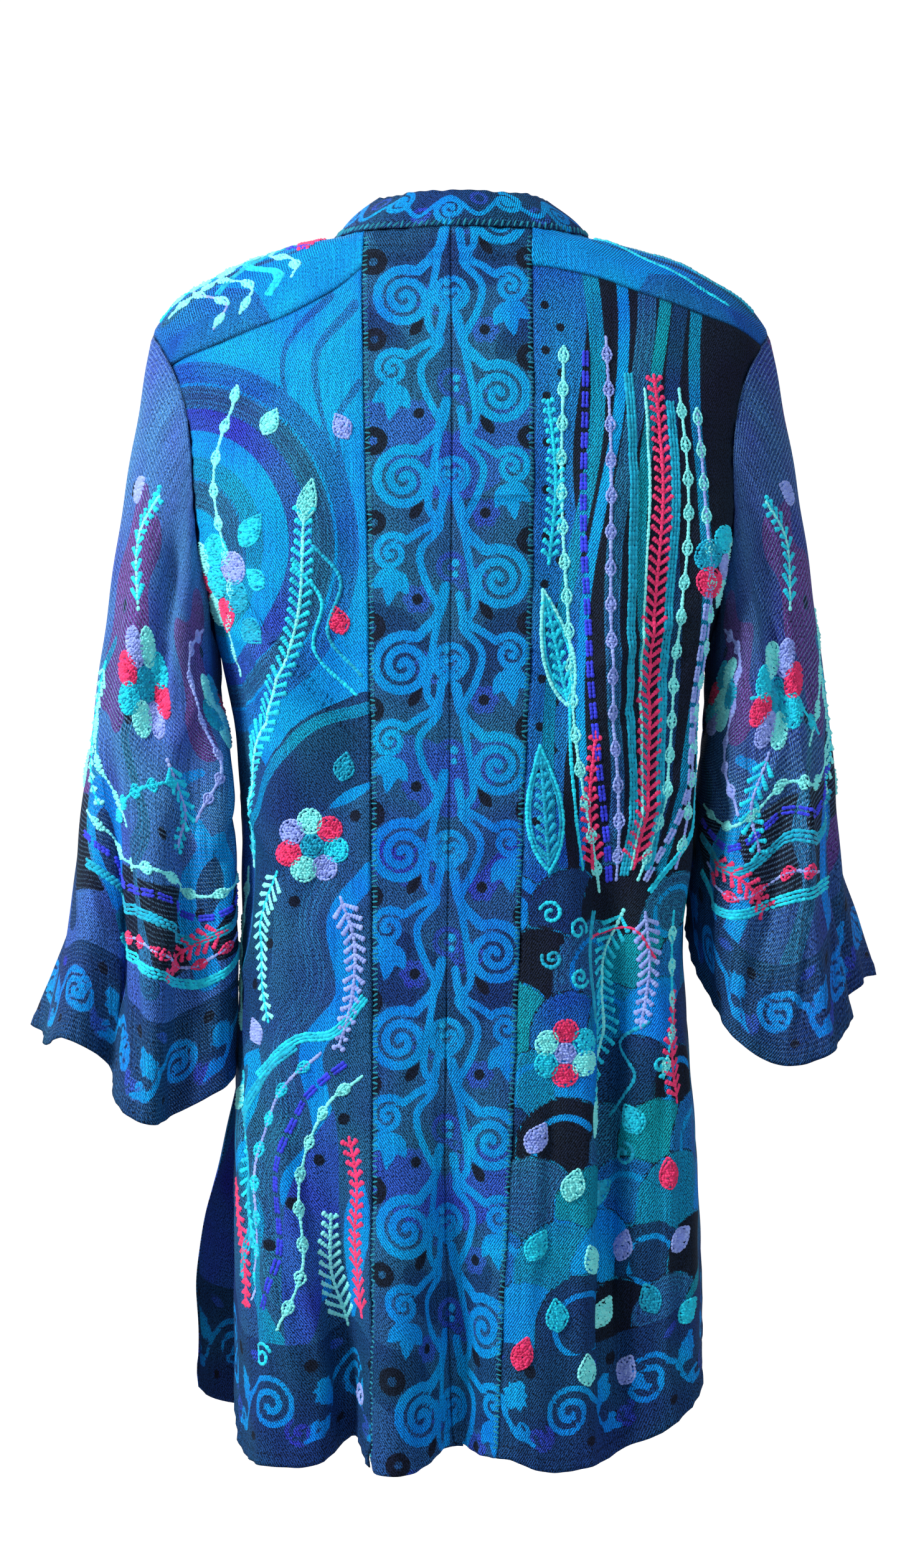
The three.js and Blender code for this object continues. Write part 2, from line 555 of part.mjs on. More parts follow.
function sleevePiece(side) {
  const seamTurn = armholeTurn(yokeSeamZ(side, 1));
  const yokeTurns = evenly(YOKE_ROWS).map((v) => seamTurn * v);
  const backTurns = upperShares.slice(1).map((v) => armholeTurn(mix(yokeSeamZ(side, 1), -UNDERARM_DROP, v)));
  const frontTurns = evenly(UPPER_ROWS).slice(1, -1).map((v) => -Math.PI * v).reverse();
  const turns = [...yokeTurns, ...backTurns, ...frontTurns.map((t) => t + 2 * Math.PI)];
  const shares = evenly(SLEEVE_ROWS);
  const points = shares.map((t) => turns.map((turn) => sleevePoint(side, turn, t)));
  const outs = shares.map((t) =>
    turns.map((turn) => (t === 0 ? armholeOut(side, turn) : sleeveOut(side, turn, t))),
  );
  if (side === "left") return wall(points, outs, { tube: true, seams: { top: true } });
  return wall(mirrorColumns(points), mirrorColumns(outs), { tube: true, seams: { top: true } });
}

// The collar stands on the neckline and leans in towards the neck.
function collarPoint(angle, share) {
  const base = bodyPoint(angle, necklineZ(angle));
  const top = base.clone();
  const frontness = ease((Math.abs(angle) - SIDE_LINE) / SIDE_LINE);
  const sideness = Math.sin(angle) ** 2;
  const lean = mix(mix(13, 31, sideness), 15, frontness);
  top.addScaledVector(new THREE.Vector3(base.x, base.y, 0).normalize(), -lean);
  top.z += COLLAR_HEIGHT;
  const bulge = 3.5 * Math.sin(Math.PI * share);
  const away = new THREE.Vector3(base.x, base.y, 0).normalize();
  return base.lerp(top, share).addScaledVector(away, bulge);
}

// The collar has an edge at each place where the body pieces have one on the neckline.
function collarAngles(side) {
  const sign = side === "left" ? 1 : -1;
  const edge = stripAngle(side === "left" ? "leftEdge" : "rightEdge", 0);
  const strip = evenly(STRIP_COLUMNS).map((s) => mix(stripAngle("seam", 0), edge, s));
  const yoke = evenly(YOKE_ROWS - 1).slice(1).map((s) => mix(edge, sign * SIDE_LINE, s));
  const front = evenly(NECK_ROWS).slice(1).map((s) => sign * necklinePlace(s).angle);
  return [...strip, ...yoke, ...front];
}

function collarPiece() {
  const angles = [...collarAngles("left").reverse(), ...collarAngles("right").slice(1)];
  const shares = evenly(COLLAR_ROWS).reverse();
  const points = shares.map((share) => angles.map((angle) => collarPoint(angle, share)));
  const outs = shares.map((share) =>
    angles.map((angle) => {
      const away = new THREE.Vector3(Math.sin(angle), Math.cos(angle), 0);
      return outward(collarPoint, angle, mix(0.1, 0.9, share), 0.01, 0.05, away);
    }),
  );
  return wall(points, outs, { seams: { foot: true } });
}

const jacket = new THREE.Group();

function add(name, geometry, material) {
  const mesh = new THREE.Mesh(geometry, material);
  mesh.name = name;
  jacket.add(mesh);
}

const everyRow = () => true;
const noRow = () => false;
const backUpper = (r) => r <= UPPER_ROWS;
const frontUpper = (r) => r <= YOKE_ROWS + UPPER_ROWS;
const collaredRows = (r) => r <= YOKE_ROWS + NECK_ROWS;

for (const side of ["left", "right"]) {
  const cloth = side === "left" ? BRIGHT_BLUE : DEEP_TEAL;
  add(
    `back_strip_${side}`,
    bodyPiece(side, stripNet(side), noRow, { top: true, near: everyRow, far: everyRow }),
    SCROLL_NAVY,
  );
  add(
    `back_panel_${side}`,
    bodyPiece(side, backSideNet(side), backUpper, { top: true, near: everyRow, far: everyRow }),
    cloth,
  );
  add(
    `front_${side}`,
    bodyPiece(side, frontNet(side), frontUpper, { top: true, near: collaredRows, far: everyRow }),
    cloth,
  );
  add(`sleeve_${side}`, sleevePiece(side), SLEEVE_BLUE);
}
add("collar_band", collarPiece(), SCROLL_NAVY);

export default jacket;
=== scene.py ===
# %% [markdown]
# # A long jacket of figured shawl cloth
# The jacket is worn, open in front and seen from behind. Lengths are in millimetres until a mesh is
# made. Angles run round the body from the centre back, positive towards the wearer's left.
# Blender draws the cloth, its woven figures and its embroidery on the form of the solid model.

# %% load the solid model
import math

import bmesh
import bpy
import numpy as np
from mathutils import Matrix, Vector
from mathutils.bvhtree import BVHTree
from mathutils.interpolate import poly_3d_calc


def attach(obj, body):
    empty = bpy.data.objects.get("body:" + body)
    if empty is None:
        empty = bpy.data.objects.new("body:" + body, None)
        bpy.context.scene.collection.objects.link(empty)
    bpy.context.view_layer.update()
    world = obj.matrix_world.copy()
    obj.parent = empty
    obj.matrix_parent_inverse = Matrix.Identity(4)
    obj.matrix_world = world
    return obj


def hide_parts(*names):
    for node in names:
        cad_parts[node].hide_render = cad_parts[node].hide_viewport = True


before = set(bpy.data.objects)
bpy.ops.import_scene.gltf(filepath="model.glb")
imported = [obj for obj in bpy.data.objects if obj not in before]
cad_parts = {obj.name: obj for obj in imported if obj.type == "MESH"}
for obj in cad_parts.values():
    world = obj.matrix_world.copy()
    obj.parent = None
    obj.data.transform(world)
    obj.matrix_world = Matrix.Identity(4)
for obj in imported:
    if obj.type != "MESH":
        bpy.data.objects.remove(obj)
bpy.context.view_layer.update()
print("solid pieces:", sorted(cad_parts))

# %% [markdown]
# ## The form
# The real jacket takes its form from the wearer: it is wide at the shoulder, straight below, and falls
# in long folds. It could be draped by a simulation, but tables of sizes, judged from the photograph,
# give the same form on each run and the form of the solid model, so the fine cloth lies on the solid.

# %% driving sizes
MM = 0.001
BACK_LENGTH = 898
UNDERARM_DROP = 307
SHOULDER_DROP = 73
NECK_HALF = 95
SHOULDER_HALF = 233
FRONT_NECK_DROP = 95
FRONT_GAP_TOP = 8
FRONT_GAP_HEM = 34
COLLAR_HEIGHT = 29
VENT_TOP = 610
ARMHOLE_CUT = 0.33
YOKE_SEAM_START = -30
SIDE_LINE = math.pi / 2
CLOTH = 1.0  # thickness of the cloth
SEAM_GAP = 0.15  # between two edges that are sewn together
HEM_FOLD = 11.5  # how wide the turned hem is
HEM_STITCH = 9.3  # where the hem's stitched line lies, from the foot
print("back", BACK_LENGTH, "mm long,", 2 * SHOULDER_HALF, "mm between the shoulder points")

# %% [markdown]
# ### Body
# Each row of the first table is a level section. Each row of the second is one long fold, which starts
# at one height, is full at another, and may lean to one side on its way down.

# %% sections and folds of the body
# height, half width left, half width right, depth back, depth front, squareness
BODY_FORM = np.array([
    (40, 60, 60, 50, 50, 2.0),
    (0, 95, 95, 62, 60, 2.0),
    (-9, 133, 130, 65, 63, 2.0),
    (-21, 166, 166, 69, 66, 2.0),
    (-34, 194, 194, 73, 69, 2.05),
    (-44, 210, 208, 76, 72, 2.1),
    (-58, 223, 221, 81, 76, 2.15),
    (-73, 233, 231, 86, 80, 2.2),
    (-100, 237, 235, 93, 88, 2.3),
    (-150, 231, 231, 103, 104, 2.5),
    (-200, 220, 221, 109, 118, 2.7),
    (-250, 203, 204, 112, 128, 2.8),
    (-307, 183, 184, 113, 132, 2.9),
    (-360, 171, 172, 113, 133, 3.0),
    (-450, 165, 168, 112, 133, 3.0),
    (-530, 165, 165, 113, 132, 3.0),
    (-600, 168, 169, 114, 131, 3.0),
    (-700, 170, 176, 116, 130, 2.9),
    (-800, 170, 179, 118, 129, 2.9),
    (-930, 170, 180, 121, 128, 2.9),
], dtype=float)

# top and foot angle in degrees, where it starts, is full and ends, how far out, half breadth, only on
BODY_FOLDS = [
    (60, 54, -130, -260, -640, 8, 20, "all"),
    (76, 73, -200, -330, -560, -7, 17, "all"),
    (-66, -67, -150, -250, -560, 13, 17, "all"),
    (-42, -49, -380, -560, -960, -27, 17, "all"),
    (-58, -66, -480, -640, -960, 7, 22, "all"),
    (3, 1, -560, -860, -1300, -28, 17, "all"),
    (22, 23, -600, -820, -1300, 11, 18, "all"),
    (44, 37, -600, -850, -1300, -31, 14, "all"),
    (56, 57, -640, -850, -1300, 9, 18, "all"),
    (-20, -22, -640, -860, -1300, 8, 20, "all"),
    (-30, -33, -110, -230, -430, -5, 15, "all"),
    (41, 36, -120, -240, -460, -4, 15, "all"),
    (-50, -46, -120, -220, -460, 4, 14, "all"),
    (128, 132, -330, -560, -1300, -17, 18, "all"),
    (146, 149, -330, -600, -1300, 9, 20, "all"),
    (108, 111, -420, -640, -1300, -12, 15, "all"),
    (92, 92, -612, -800, -1300, 34, 42, "front"),
    (-130, -127, -310, -560, -1300, -15, 17, "all"),
    (-148, -146, -360, -620, -1300, 10, 19, "all"),
    (-107, -109, -450, -660, -1300, -10, 14, "all"),
]

print("body sections:", len(BODY_FORM), "folds:", len(BODY_FOLDS))

# %% [markdown]
# ### Strips, yoke seam and hem
# Two border strips run down the centre back. They aren't quite even, as hand-cut strips never are. The
# hem curves up at the side vents, and dips and lifts where folds reach it.

# %% seams and hem
# height, then the distances of the left edge, the seam and the right edge of the centre strips
CENTRE_STRIPS = np.array([
    (0, 72, 8, -52),
    (-30, 73, 8, -51),
    (-150, 70, 7, -52),
    (-290, 67, 8, -50),
    (-430, 65, 9, -44),
    (-560, 64, 11, -40),
    (-700, 64, 12, -34),
    (-810, 65, 9, -28),
    (-930, 66, 5, -24),
], dtype=float)

YOKE_SEAM = {"left": (-100, 1.0), "right": (-84, 2.4)}
HEM_CORNERS = {
    ("back", "left"): (150, 0.25),
    ("back", "right"): (150, 0.68),
    ("front", "left"): (40, 0.35),
    ("front", "right"): (110, 0.5),
}
HEM_LIFTS = [(37, 18, 6), (3, 15, 8), (-14, 11, 10), (128, 8, 8), (-128, 8, 8)]

print("strips at the top:", CENTRE_STRIPS[0, 1:], "at the hem:", CENTRE_STRIPS[-1, 1:])

# %% [markdown]
# ### Sleeves
# The sleeves are wide and end in a bell. Their rings tilt more and more on the way down, so each row
# gives the ring's middle and the steps to its outer point and its back point.

# %% rings and folds of the sleeves
# share of the length, centre x, y, z, step to the outer point x, z, step to the back point y, z
SLEEVE_RINGS = {
    "left": np.array([
        (0, 207, 0, -190, 26, 117, 66, 0),
        (0.3, 218, 2, -292, 38, 80, 72, -6),
        (0.6, 229, 0, -415, 51, 34, 73, -18),
        (0.85, 237, -4, -540, 61, 9, 75, -28),
        (1, 246, -6, -612, 69, 2, 78, -36),
    ], dtype=float),
    "right": np.array([
        (0, 207, 0, -190, 26, 117, 66, 0),
        (0.3, 219, 2, -285, 37, 76, 70, -8),
        (0.6, 226, 0, -392, 50, 30, 70, -22),
        (0.85, 229, -4, -492, 58, 2, 74, -36),
        (1, 236, -6, -560, 66, -16, 78, -48),
    ], dtype=float),
}

# top and foot turn in degrees, where along the sleeve it starts, is full and ends, how far out, breadth
SLEEVE_FOLDS = {
    "left": [
        (-14, -14, 0.8, 1, 2, 15, 11, "all"),
        (46, 70, 0.5, 0.86, 2, -32, 17, "all"),
        (94, 104, 0.45, 0.8, 2, 10, 20, "all"),
        (122, 118, 0.42, 0.68, 2, -11, 12, "all"),
        (152, 148, 0.12, 0.45, 2, 22, 22, "all"),
        (98, 88, 0.04, 0.2, 0.55, -9, 14, "all"),
        (58, 62, 0.05, 0.25, 0.6, 6, 15, "all"),
        (292, 286, 0.3, 0.6, 2, -10, 15, "all"),
        (250, 246, 0.3, 0.6, 2, 7, 16, "all"),
    ],
    "right": [
        (-12, -12, 0.8, 1, 2, 15, 11, "all"),
        (64, 62, 0.4, 0.7, 2, 7, 9, "all"),
        (92, 94, 0.5, 0.85, 2, -7, 16, "all"),
        (122, 120, 0.3, 0.55, 2, 6, 15, "all"),
        (84, 78, 0.04, 0.2, 0.6, -9, 13, "all"),
        (24, 22, 0.6, 0.95, 2, -15, 11, "all"),
        (296, 290, 0.3, 0.6, 2, -9, 15, "all"),
        (254, 250, 0.3, 0.6, 2, 7, 16, "all"),
    ],
}
CUFF_LIFTS = {
    "left": [(50, 41, 28), (0, 9, 26), (113, -11, 26), (180, 14, 40)],
    "right": [(8, 22, 22), (42, 15, 20), (100, -8, 24), (180, 20, 42)],
}
print("sleeve folds:", {side: len(folds) for side, folds in SLEEVE_FOLDS.items()})

# %% [markdown]
# ### From tables to a surface
# Cloth has no corners from section to section. Straight steps between the rows would show as bands of
# light, so the values are read on a smooth curve. A fold is a rounded ridge or trough that fades in.


# %% reading tables and folds
def mix(a, b, t):
    return a + (b - a) * t


def ease(t):
    t = np.clip(t, 0, 1)
    return t * t * (3 - 2 * t)


def read_table(table, column, at):
    """The value of a column at each key of the first column, on a smooth curve through the rows."""
    order = np.argsort(table[:, 0])
    key, value = table[order, 0], table[order, column]
    last = len(key) - 1
    before = np.maximum(np.arange(last + 1) - 1, 0)
    after = np.minimum(np.arange(last + 1) + 1, last)
    slope = (value[after] - value[before]) / (key[after] - key[before])
    i = np.clip(np.searchsorted(key, at) - 1, 0, last - 1)
    span = key[i + 1] - key[i]
    t = np.clip((at - key[i]) / span, 0, 1)
    bend = span * (t * (1 - t) ** 2 * slope[i] - t * t * (1 - t) * slope[i + 1])
    return mix(value[i], value[i + 1], t * t * (3 - 2 * t)) + bend


def fold_height(folds, around, along, radius):
    """How far the folds push the cloth out at each place."""
    total = np.zeros(np.broadcast(around, along).shape)
    for top, foot, start, full, end, height, breadth, only in folds:
        lean = np.clip((along - start) / (full - start), 0, 1)
        fade = 1 - ease((along - end) / abs(0.25 * (end - start)) * math.copysign(1, full - start) + 1)
        turn = around - np.radians(mix(top, foot, lean))
        turn = turn - 2 * math.pi * np.round(turn / (2 * math.pi))
        push = height * ease(lean) * fade * np.exp(-((turn * radius / breadth) ** 2))
        if only == "front":
            push = np.where(np.abs(around) < SIDE_LINE, 0, push)
        total += push
    return total


print("fold at the back trough:", fold_height(BODY_FOLDS, np.radians(-49), np.array([-700.0]), 160))

# %% [markdown]
# ### The body's surface
# A direction round the body and a height give one place on the cloth. Rounded squares suit a back that
# is broad and flat. The seams, the neckline, the hem and the armholes are lines on this surface.


# %% the surface of the body
def body_section(angle, z):
    width = np.where(angle >= 0, read_table(BODY_FORM, 1, z), read_table(BODY_FORM, 2, z))
    on_back = np.abs(angle) < SIDE_LINE
    depth = np.where(on_back, read_table(BODY_FORM, 3, z), read_table(BODY_FORM, 4, z))
    square = read_table(BODY_FORM, 5, z)
    sx, sy = np.abs(np.sin(angle)) / width, np.abs(np.cos(angle)) / depth
    return width, depth, square, (sx**square + sy**square) ** (-1 / square)


def body_point(angle, z):
    """A place on the outside of the body from its direction and height."""
    width, depth, square, radius = body_section(angle, z)
    x, y = radius * np.sin(angle), radius * np.cos(angle)
    nx = np.sign(x) * (np.abs(x) / width) ** (square - 1) / width
    ny = np.sign(y) * (np.abs(y) / depth) ** (square - 1) / depth
    out = fold_height(BODY_FOLDS, angle, z, radius) / np.hypot(nx, ny)
    return np.stack([x + nx * out, y + ny * out, z + 0 * x], -1)


def angle_across(x, z):
    """The direction in which the back lies a distance from the centre line."""
    low, high = np.zeros_like(z), np.full_like(z, SIDE_LINE)
    for _ in range(40):
        middle = (low + high) / 2
        short = body_section(np.copysign(middle, x), z)[3] * np.sin(middle) < np.abs(x)
        low, high = np.where(short, middle, low), np.where(short, high, middle)
    return np.copysign(low, x)


# %% lines of the strips, the neck and the hem
STRIP_HEIGHTS = np.linspace(-BACK_LENGTH - 10, 0, 400)
STRIP_ANGLES = {
    "left": angle_across(read_table(CENTRE_STRIPS, 1, STRIP_HEIGHTS), STRIP_HEIGHTS),
    "seam": angle_across(read_table(CENTRE_STRIPS, 2, STRIP_HEIGHTS), STRIP_HEIGHTS),
    "right": angle_across(read_table(CENTRE_STRIPS, 3, STRIP_HEIGHTS), STRIP_HEIGHTS),
}


def strip_angle(line, z):
    return np.interp(z, STRIP_HEIGHTS, STRIP_ANGLES[line])


def front_edge_angle(z):
    gap = mix(FRONT_GAP_TOP, FRONT_GAP_HEM, ease((-z - FRONT_NECK_DROP) / (BACK_LENGTH - FRONT_NECK_DROP)))
    return math.pi - np.arctan(gap / read_table(BODY_FORM, 4, z))


def neckline_z(angle):
    reach = front_edge_angle(np.float64(-FRONT_NECK_DROP)) - SIDE_LINE
    return -FRONT_NECK_DROP * np.clip((np.abs(angle) - SIDE_LINE) / reach, 0, 1) ** 1.6


def hem_z(angle, half):
    side = "left" if np.mean(angle) >= 0 else "right"
    corner_rise, share = HEM_CORNERS[half, side]
    bend = np.clip(1 - np.abs(np.abs(angle) - SIDE_LINE) / SIDE_LINE / share, 0, 1)
    rise = corner_rise * (1 - np.sqrt(1 - bend**2))
    for at, lift, breadth in HEM_LIFTS:
        rise = rise + lift * np.exp(-(((np.degrees(angle) - at) / breadth) ** 2))
    return -BACK_LENGTH + rise


# %% lines of the armholes, the vents and the yoke
ARMHOLE_MIDDLE = -(SHOULDER_DROP + UNDERARM_DROP) / 2
ARMHOLE_HALF = (UNDERARM_DROP - SHOULDER_DROP) / 2


def armhole_z(turn):
    return ARMHOLE_MIDDLE + ARMHOLE_HALF * np.cos(turn)


def armhole_angle(turn):
    return SIDE_LINE - ARMHOLE_CUT * np.sin(turn)


def armhole_turn(z):
    return np.arccos(np.clip((z - ARMHOLE_MIDDLE) / ARMHOLE_HALF, -1, 1))


def vent_open(z):
    return ease((-z - VENT_TOP) / (BACK_LENGTH - VENT_TOP - 60))


def yoke_seam_z(side, share):
    end, bow = YOKE_SEAM[side]
    return mix(YOKE_SEAM_START, end, share**bow)


print("shoulder point:", body_point(np.float64(SIDE_LINE), np.float64(-SHOULDER_DROP)).round(1))


# %% [markdown]
# ## Nets of the pieces
# A maker cuts each piece to its own outline. A net is that outline filled with rows and columns of
# directions and heights. Rows run down the piece, so threads, hems and seams follow its edges. A mesh
# cut with knives along the seams would leave ragged faces there.

# %% nets of the back
def shares(count):
    return np.linspace(0, 1, count + 1)


def strip_net(side, columns=28):
    s = shares(columns)
    seam_foot, edge_foot = strip_angle("seam", -BACK_LENGTH), strip_angle(side, -BACK_LENGTH)
    lowest = hem_z(mix(seam_foot, edge_foot, s), "back")
    upper = np.repeat(np.linspace(0, -UNDERARM_DROP, 120)[:, None], columns + 1, 1)
    lower = mix(-UNDERARM_DROP, lowest[None], shares(236)[1:, None])
    z = np.vstack([upper, lower])
    near, far = strip_angle("seam", z[:, :1]), strip_angle(side, z[:, -1:])
    return mix(near, far, s), z


def back_panel_net(side, columns=56):
    sign = 1 if side == "left" else -1
    s = shares(columns)
    top = yoke_seam_z(side, s)
    upper = mix(top[None], -UNDERARM_DROP, shares(92)[:, None])
    turn = armhole_turn(upper[:, -1:])
    upper_angle = mix(strip_angle(side, upper), sign * armhole_angle(turn), s)
    inner = strip_angle(side, -BACK_LENGTH)
    lowest = hem_z(mix(inner, sign * 0.9999 * SIDE_LINE, s), "back")
    lower = mix(-UNDERARM_DROP, lowest[None], shares(200)[1:, None])
    lower_angle = mix(strip_angle(side, lower), sign * (SIDE_LINE - 0.09 * vent_open(lower)), s)
    return np.vstack([upper_angle, lower_angle]), np.vstack([upper, lower])


print("rows and columns of a strip:", strip_net("left")[0].shape)
print("rows and columns of a back panel:", back_panel_net("left")[0].shape)


# %% net of the front
def fill_patch(top, foot, near, far, s, v):
    """Spreads directions or heights between the four edges of a patch."""
    s, v = s[None], v[:, None]
    sides = mix(near[:, None], far[:, None], s)
    return mix(top[None], foot[None], v) + sides - mix(mix(near[0], far[0], s), mix(near[-1], far[-1], s),
                                                       v)


def crest_z(share):
    reach = mix(NECK_HALF, SHOULDER_HALF, share)
    high, low = np.zeros_like(share), np.full_like(share, -SHOULDER_DROP)
    for _ in range(40):
        middle = (high + low) / 2
        short = read_table(BODY_FORM, 1, middle) < reach
        high, low = np.where(short, middle, high), np.where(short, low, middle)
    return low


def front_net(side, columns=56):
    """The front, from its seam on the back, over the shoulder and down to the hem."""
    sign = 1 if side == "left" else -1
    s = shares(columns)
    seam_z = yoke_seam_z(side, s)
    seam_turn = armhole_turn(seam_z[-1])
    seam = mix(strip_angle(side, seam_z) * sign, armhole_angle(seam_turn), s)
    crest = np.full(columns + 1, SIDE_LINE)
    strip_top = strip_angle(side, 0.0) * sign
    v = shares(20)
    first = np.clip(v / 0.25, 0, 1)
    second = np.clip((v - 0.25) / 0.75, 0, 1)
    near_z = np.where(v <= 0.25, mix(YOKE_SEAM_START, 0, first), 0)
    near_angle = np.where(v <= 0.25, strip_angle(side, near_z) * sign, mix(strip_top, SIDE_LINE, second))
    turn = seam_turn * (1 - v)
    angle = [fill_patch(seam, crest, near_angle, armhole_angle(turn), s, v)]
    z = [fill_patch(seam_z, crest_z(s), near_z, armhole_z(turn), s, v)]
    v = shares(88)
    neck_share = 5 / 11
    neck = mix(SIDE_LINE, front_edge_angle(np.float64(-FRONT_NECK_DROP)), np.clip(v / neck_share, 0, 1))
    edge_z = mix(-FRONT_NECK_DROP, -UNDERARM_DROP, np.clip((v - neck_share) / (1 - neck_share), 0, 1))
    near_angle = np.where(v <= neck_share, neck, front_edge_angle(edge_z))
    near_z = np.where(v <= neck_share, neckline_z(neck), edge_z)
    underarm = mix(front_edge_angle(np.float64(-UNDERARM_DROP)), SIDE_LINE, s)
    level = np.full(columns + 1, -float(UNDERARM_DROP))
    angle.append(fill_patch(crest, underarm, near_angle, armhole_angle(-math.pi * v), s, v)[1:])
    z.append(fill_patch(crest_z(s), level, near_z, armhole_z(math.pi * v), s, v)[1:])
    lowest = hem_z(sign * mix(front_edge_angle(np.float64(-BACK_LENGTH)), SIDE_LINE, s), "front")
    lower = mix(-UNDERARM_DROP, lowest[None], shares(166)[1:, None])
    angle.append(mix(front_edge_angle(lower), SIDE_LINE + 0.1 * vent_open(lower), s))
    z.append(lower)
    return sign * np.vstack(angle), np.vstack(z)


print("rows and columns of a front:", front_net("left")[0].shape)

# %% [markdown]
# ## Sleeves and collar
# A sleeve starts on the armhole's own line, so that no gap shows, and turns into its own rings within
# two fifths of its length. The collar is a straight band that stands on the neckline.


# %% surfaces of the sleeves and the collar
def sleeve_ring(side, turn, t):
    sign = 1 if side == "left" else -1
    x, y, z, out_x, out_z, back_y, back_z = (read_table(SLEEVE_RINGS[side], k, t) for k in range(1, 8))
    across, behind = np.cos(turn), np.sin(turn)
    return np.stack([sign * (x + out_x * across), y + back_y * behind,
                     z + out_z * across + back_z * behind], -1)


def sleeve_point(side, turn, t):
    sign = 1 if side == "left" else -1
    point = sleeve_ring(side, turn, t)
    pull = ((1 - np.clip(t / 0.4, 0, 1)) ** 2)[..., None]
    hole = body_point(sign * armhole_angle(turn), armhole_z(turn))
    point = point + pull * (hole - sleeve_ring(side, turn, 0 * t))
    for at, rise, breadth in CUFF_LIFTS[side]:
        away = np.degrees(turn) - at
        away = away - 360 * np.round(away / 360)
        point[..., 2] += rise * ease((t - 0.5) / 0.5) * np.exp(-((away / breadth) ** 2))
    centre_x, centre_y = sign * read_table(SLEEVE_RINGS[side], 1, t), read_table(SLEEVE_RINGS[side], 2, t)
    out_x, out_y = point[..., 0] - centre_x, point[..., 1] - centre_y
    length = np.hypot(out_x, out_y)
    push = fold_height(SLEEVE_FOLDS[side], turn, t, read_table(SLEEVE_RINGS[side], 6, t))
    point[..., 0] += push * out_x / length
    point[..., 1] += push * out_y / length
    return point


def collar_point(angle, share):
    """The collar stands on the neckline and leans in towards the neck."""
    base = body_point(angle, neckline_z(angle))
    frontness = ease((np.abs(angle) - SIDE_LINE) / SIDE_LINE)
    lean = mix(mix(13, 31, np.sin(angle) ** 2), 15, frontness)
    flat = np.hypot(base[..., 0], base[..., 1])
    inward = -lean * share + 3.5 * np.sin(math.pi * share)
    point = base.copy()
    point[..., 0] += inward * base[..., 0] / flat
    point[..., 1] += inward * base[..., 1] / flat
    point[..., 2] += COLLAR_HEIGHT * share
    return point


print("cuff, outer line:", sleeve_point("left", np.float64(0), np.float64(1)).round(1))

# %% [markdown]
# ## Cloth pieces
# Each piece is a grid that is laid on its surface. It keeps its flat measure in millimetres, across
# and down, so woven figures and stitches can be drawn on the flat cloth as the weaver and embroiderer do.
# Creases, rolled seam edges and puckers are real relief. A bump map would leave the outline smooth.


# %% measures of a grid
def grid_normals(points):
    down, across = np.gradient(points, axis=0), np.gradient(points, axis=1)
    normal = np.cross(across, down)
    return normal / np.linalg.norm(normal, axis=-1, keepdims=True)


def run_lengths(points, axis):
    steps = np.linalg.norm(np.diff(points, axis=axis), axis=-1)
    total = np.cumsum(steps, axis=axis)
    return np.concatenate([np.zeros_like(np.take(total, [0], axis)), total], axis)


def edge_distances(points):
    """How far each place lies from the four edges of its piece."""
    across, down = run_lengths(points, 1), run_lengths(points, 0)
    return {
        "near": across,
        "far": across[:, -1:] - across,
        "top": down,
        "foot": down[-1:] - down,
    }


def flat_down(points, crest_row=0):
    """Flat measure of a piece: across from its near edge, and down."""
    across, down = run_lengths(points, 1), run_lengths(points, 0).mean(1, keepdims=True)
    down = down - down[crest_row]
    return np.stack([across, down + 0 * across], -1)


def outward_level(angle):
    return np.stack([np.sin(angle), np.cos(angle), 0.3 + 0 * angle], -1)


print("girth at the hips:", round(float(run_lengths(body_point(np.linspace(-math.pi, math.pi, 400),
                                                               -600.0), 0)[-1])))


# %% relief of the cloth
FOLD_STRENGTH = 2.0  # times the table's heights, so that creases shade more like the photograph's
# narrow creases, like seams and the hem stitch, get painted shade in the cloth's material
NARROW_CREASE = 3  # creases with a smaller half breadth are pressed in and look dark


def beside(flat, start, end):
    """Share of a straight line, and the distance from it, at each place of the flat cloth."""
    start, end = np.array(start, float), np.array(end, float)
    line = end - start
    t = ((flat - start) @ line) / (line @ line)
    return t, np.linalg.norm(flat - start - np.clip(t, 0, 1)[..., None] * line, axis=-1)


def crease(flat, start, end, height, breadth):
    """A soft ridge or groove from one place of the flat cloth to another, fading at both ends."""
    t, away = beside(flat, start, end)
    fade = np.clip(np.minimum(t, 1 - t) * 4 + 0.3, 0, 1)
    return FOLD_STRENGTH * height * fade * np.exp(-((away / breadth) ** 2))


def relief(flat, from_edge, creases, rolls, puckers):
    """Creases, edges that roll in at seams, puckers along them, and the cloth's own unevenness."""
    lift = np.zeros(flat.shape[:2])
    for one in creases:
        lift += crease(flat, *one)
    for edge, depth, reach in rolls:
        lift -= depth * np.exp(-((from_edge[edge] / reach) ** 2))
    for edge, height, reach in puckers:
        along = flat[..., 1] if edge in ("near", "far") else flat[..., 0]
        ripple = np.sin(along / 2.3 + 1.7 * np.sin(along / 31)) + 0.8 * np.sin(along / 3.7 + 1.1)
        lift += height * ripple * np.exp(-from_edge[edge] / reach)
    u, v = flat[..., 0], flat[..., 1]
    lift += 0.45 * np.sin(u / 9 + v / 23) + 0.4 * np.sin(u / 14 - v / 11 + 2)
    return lift


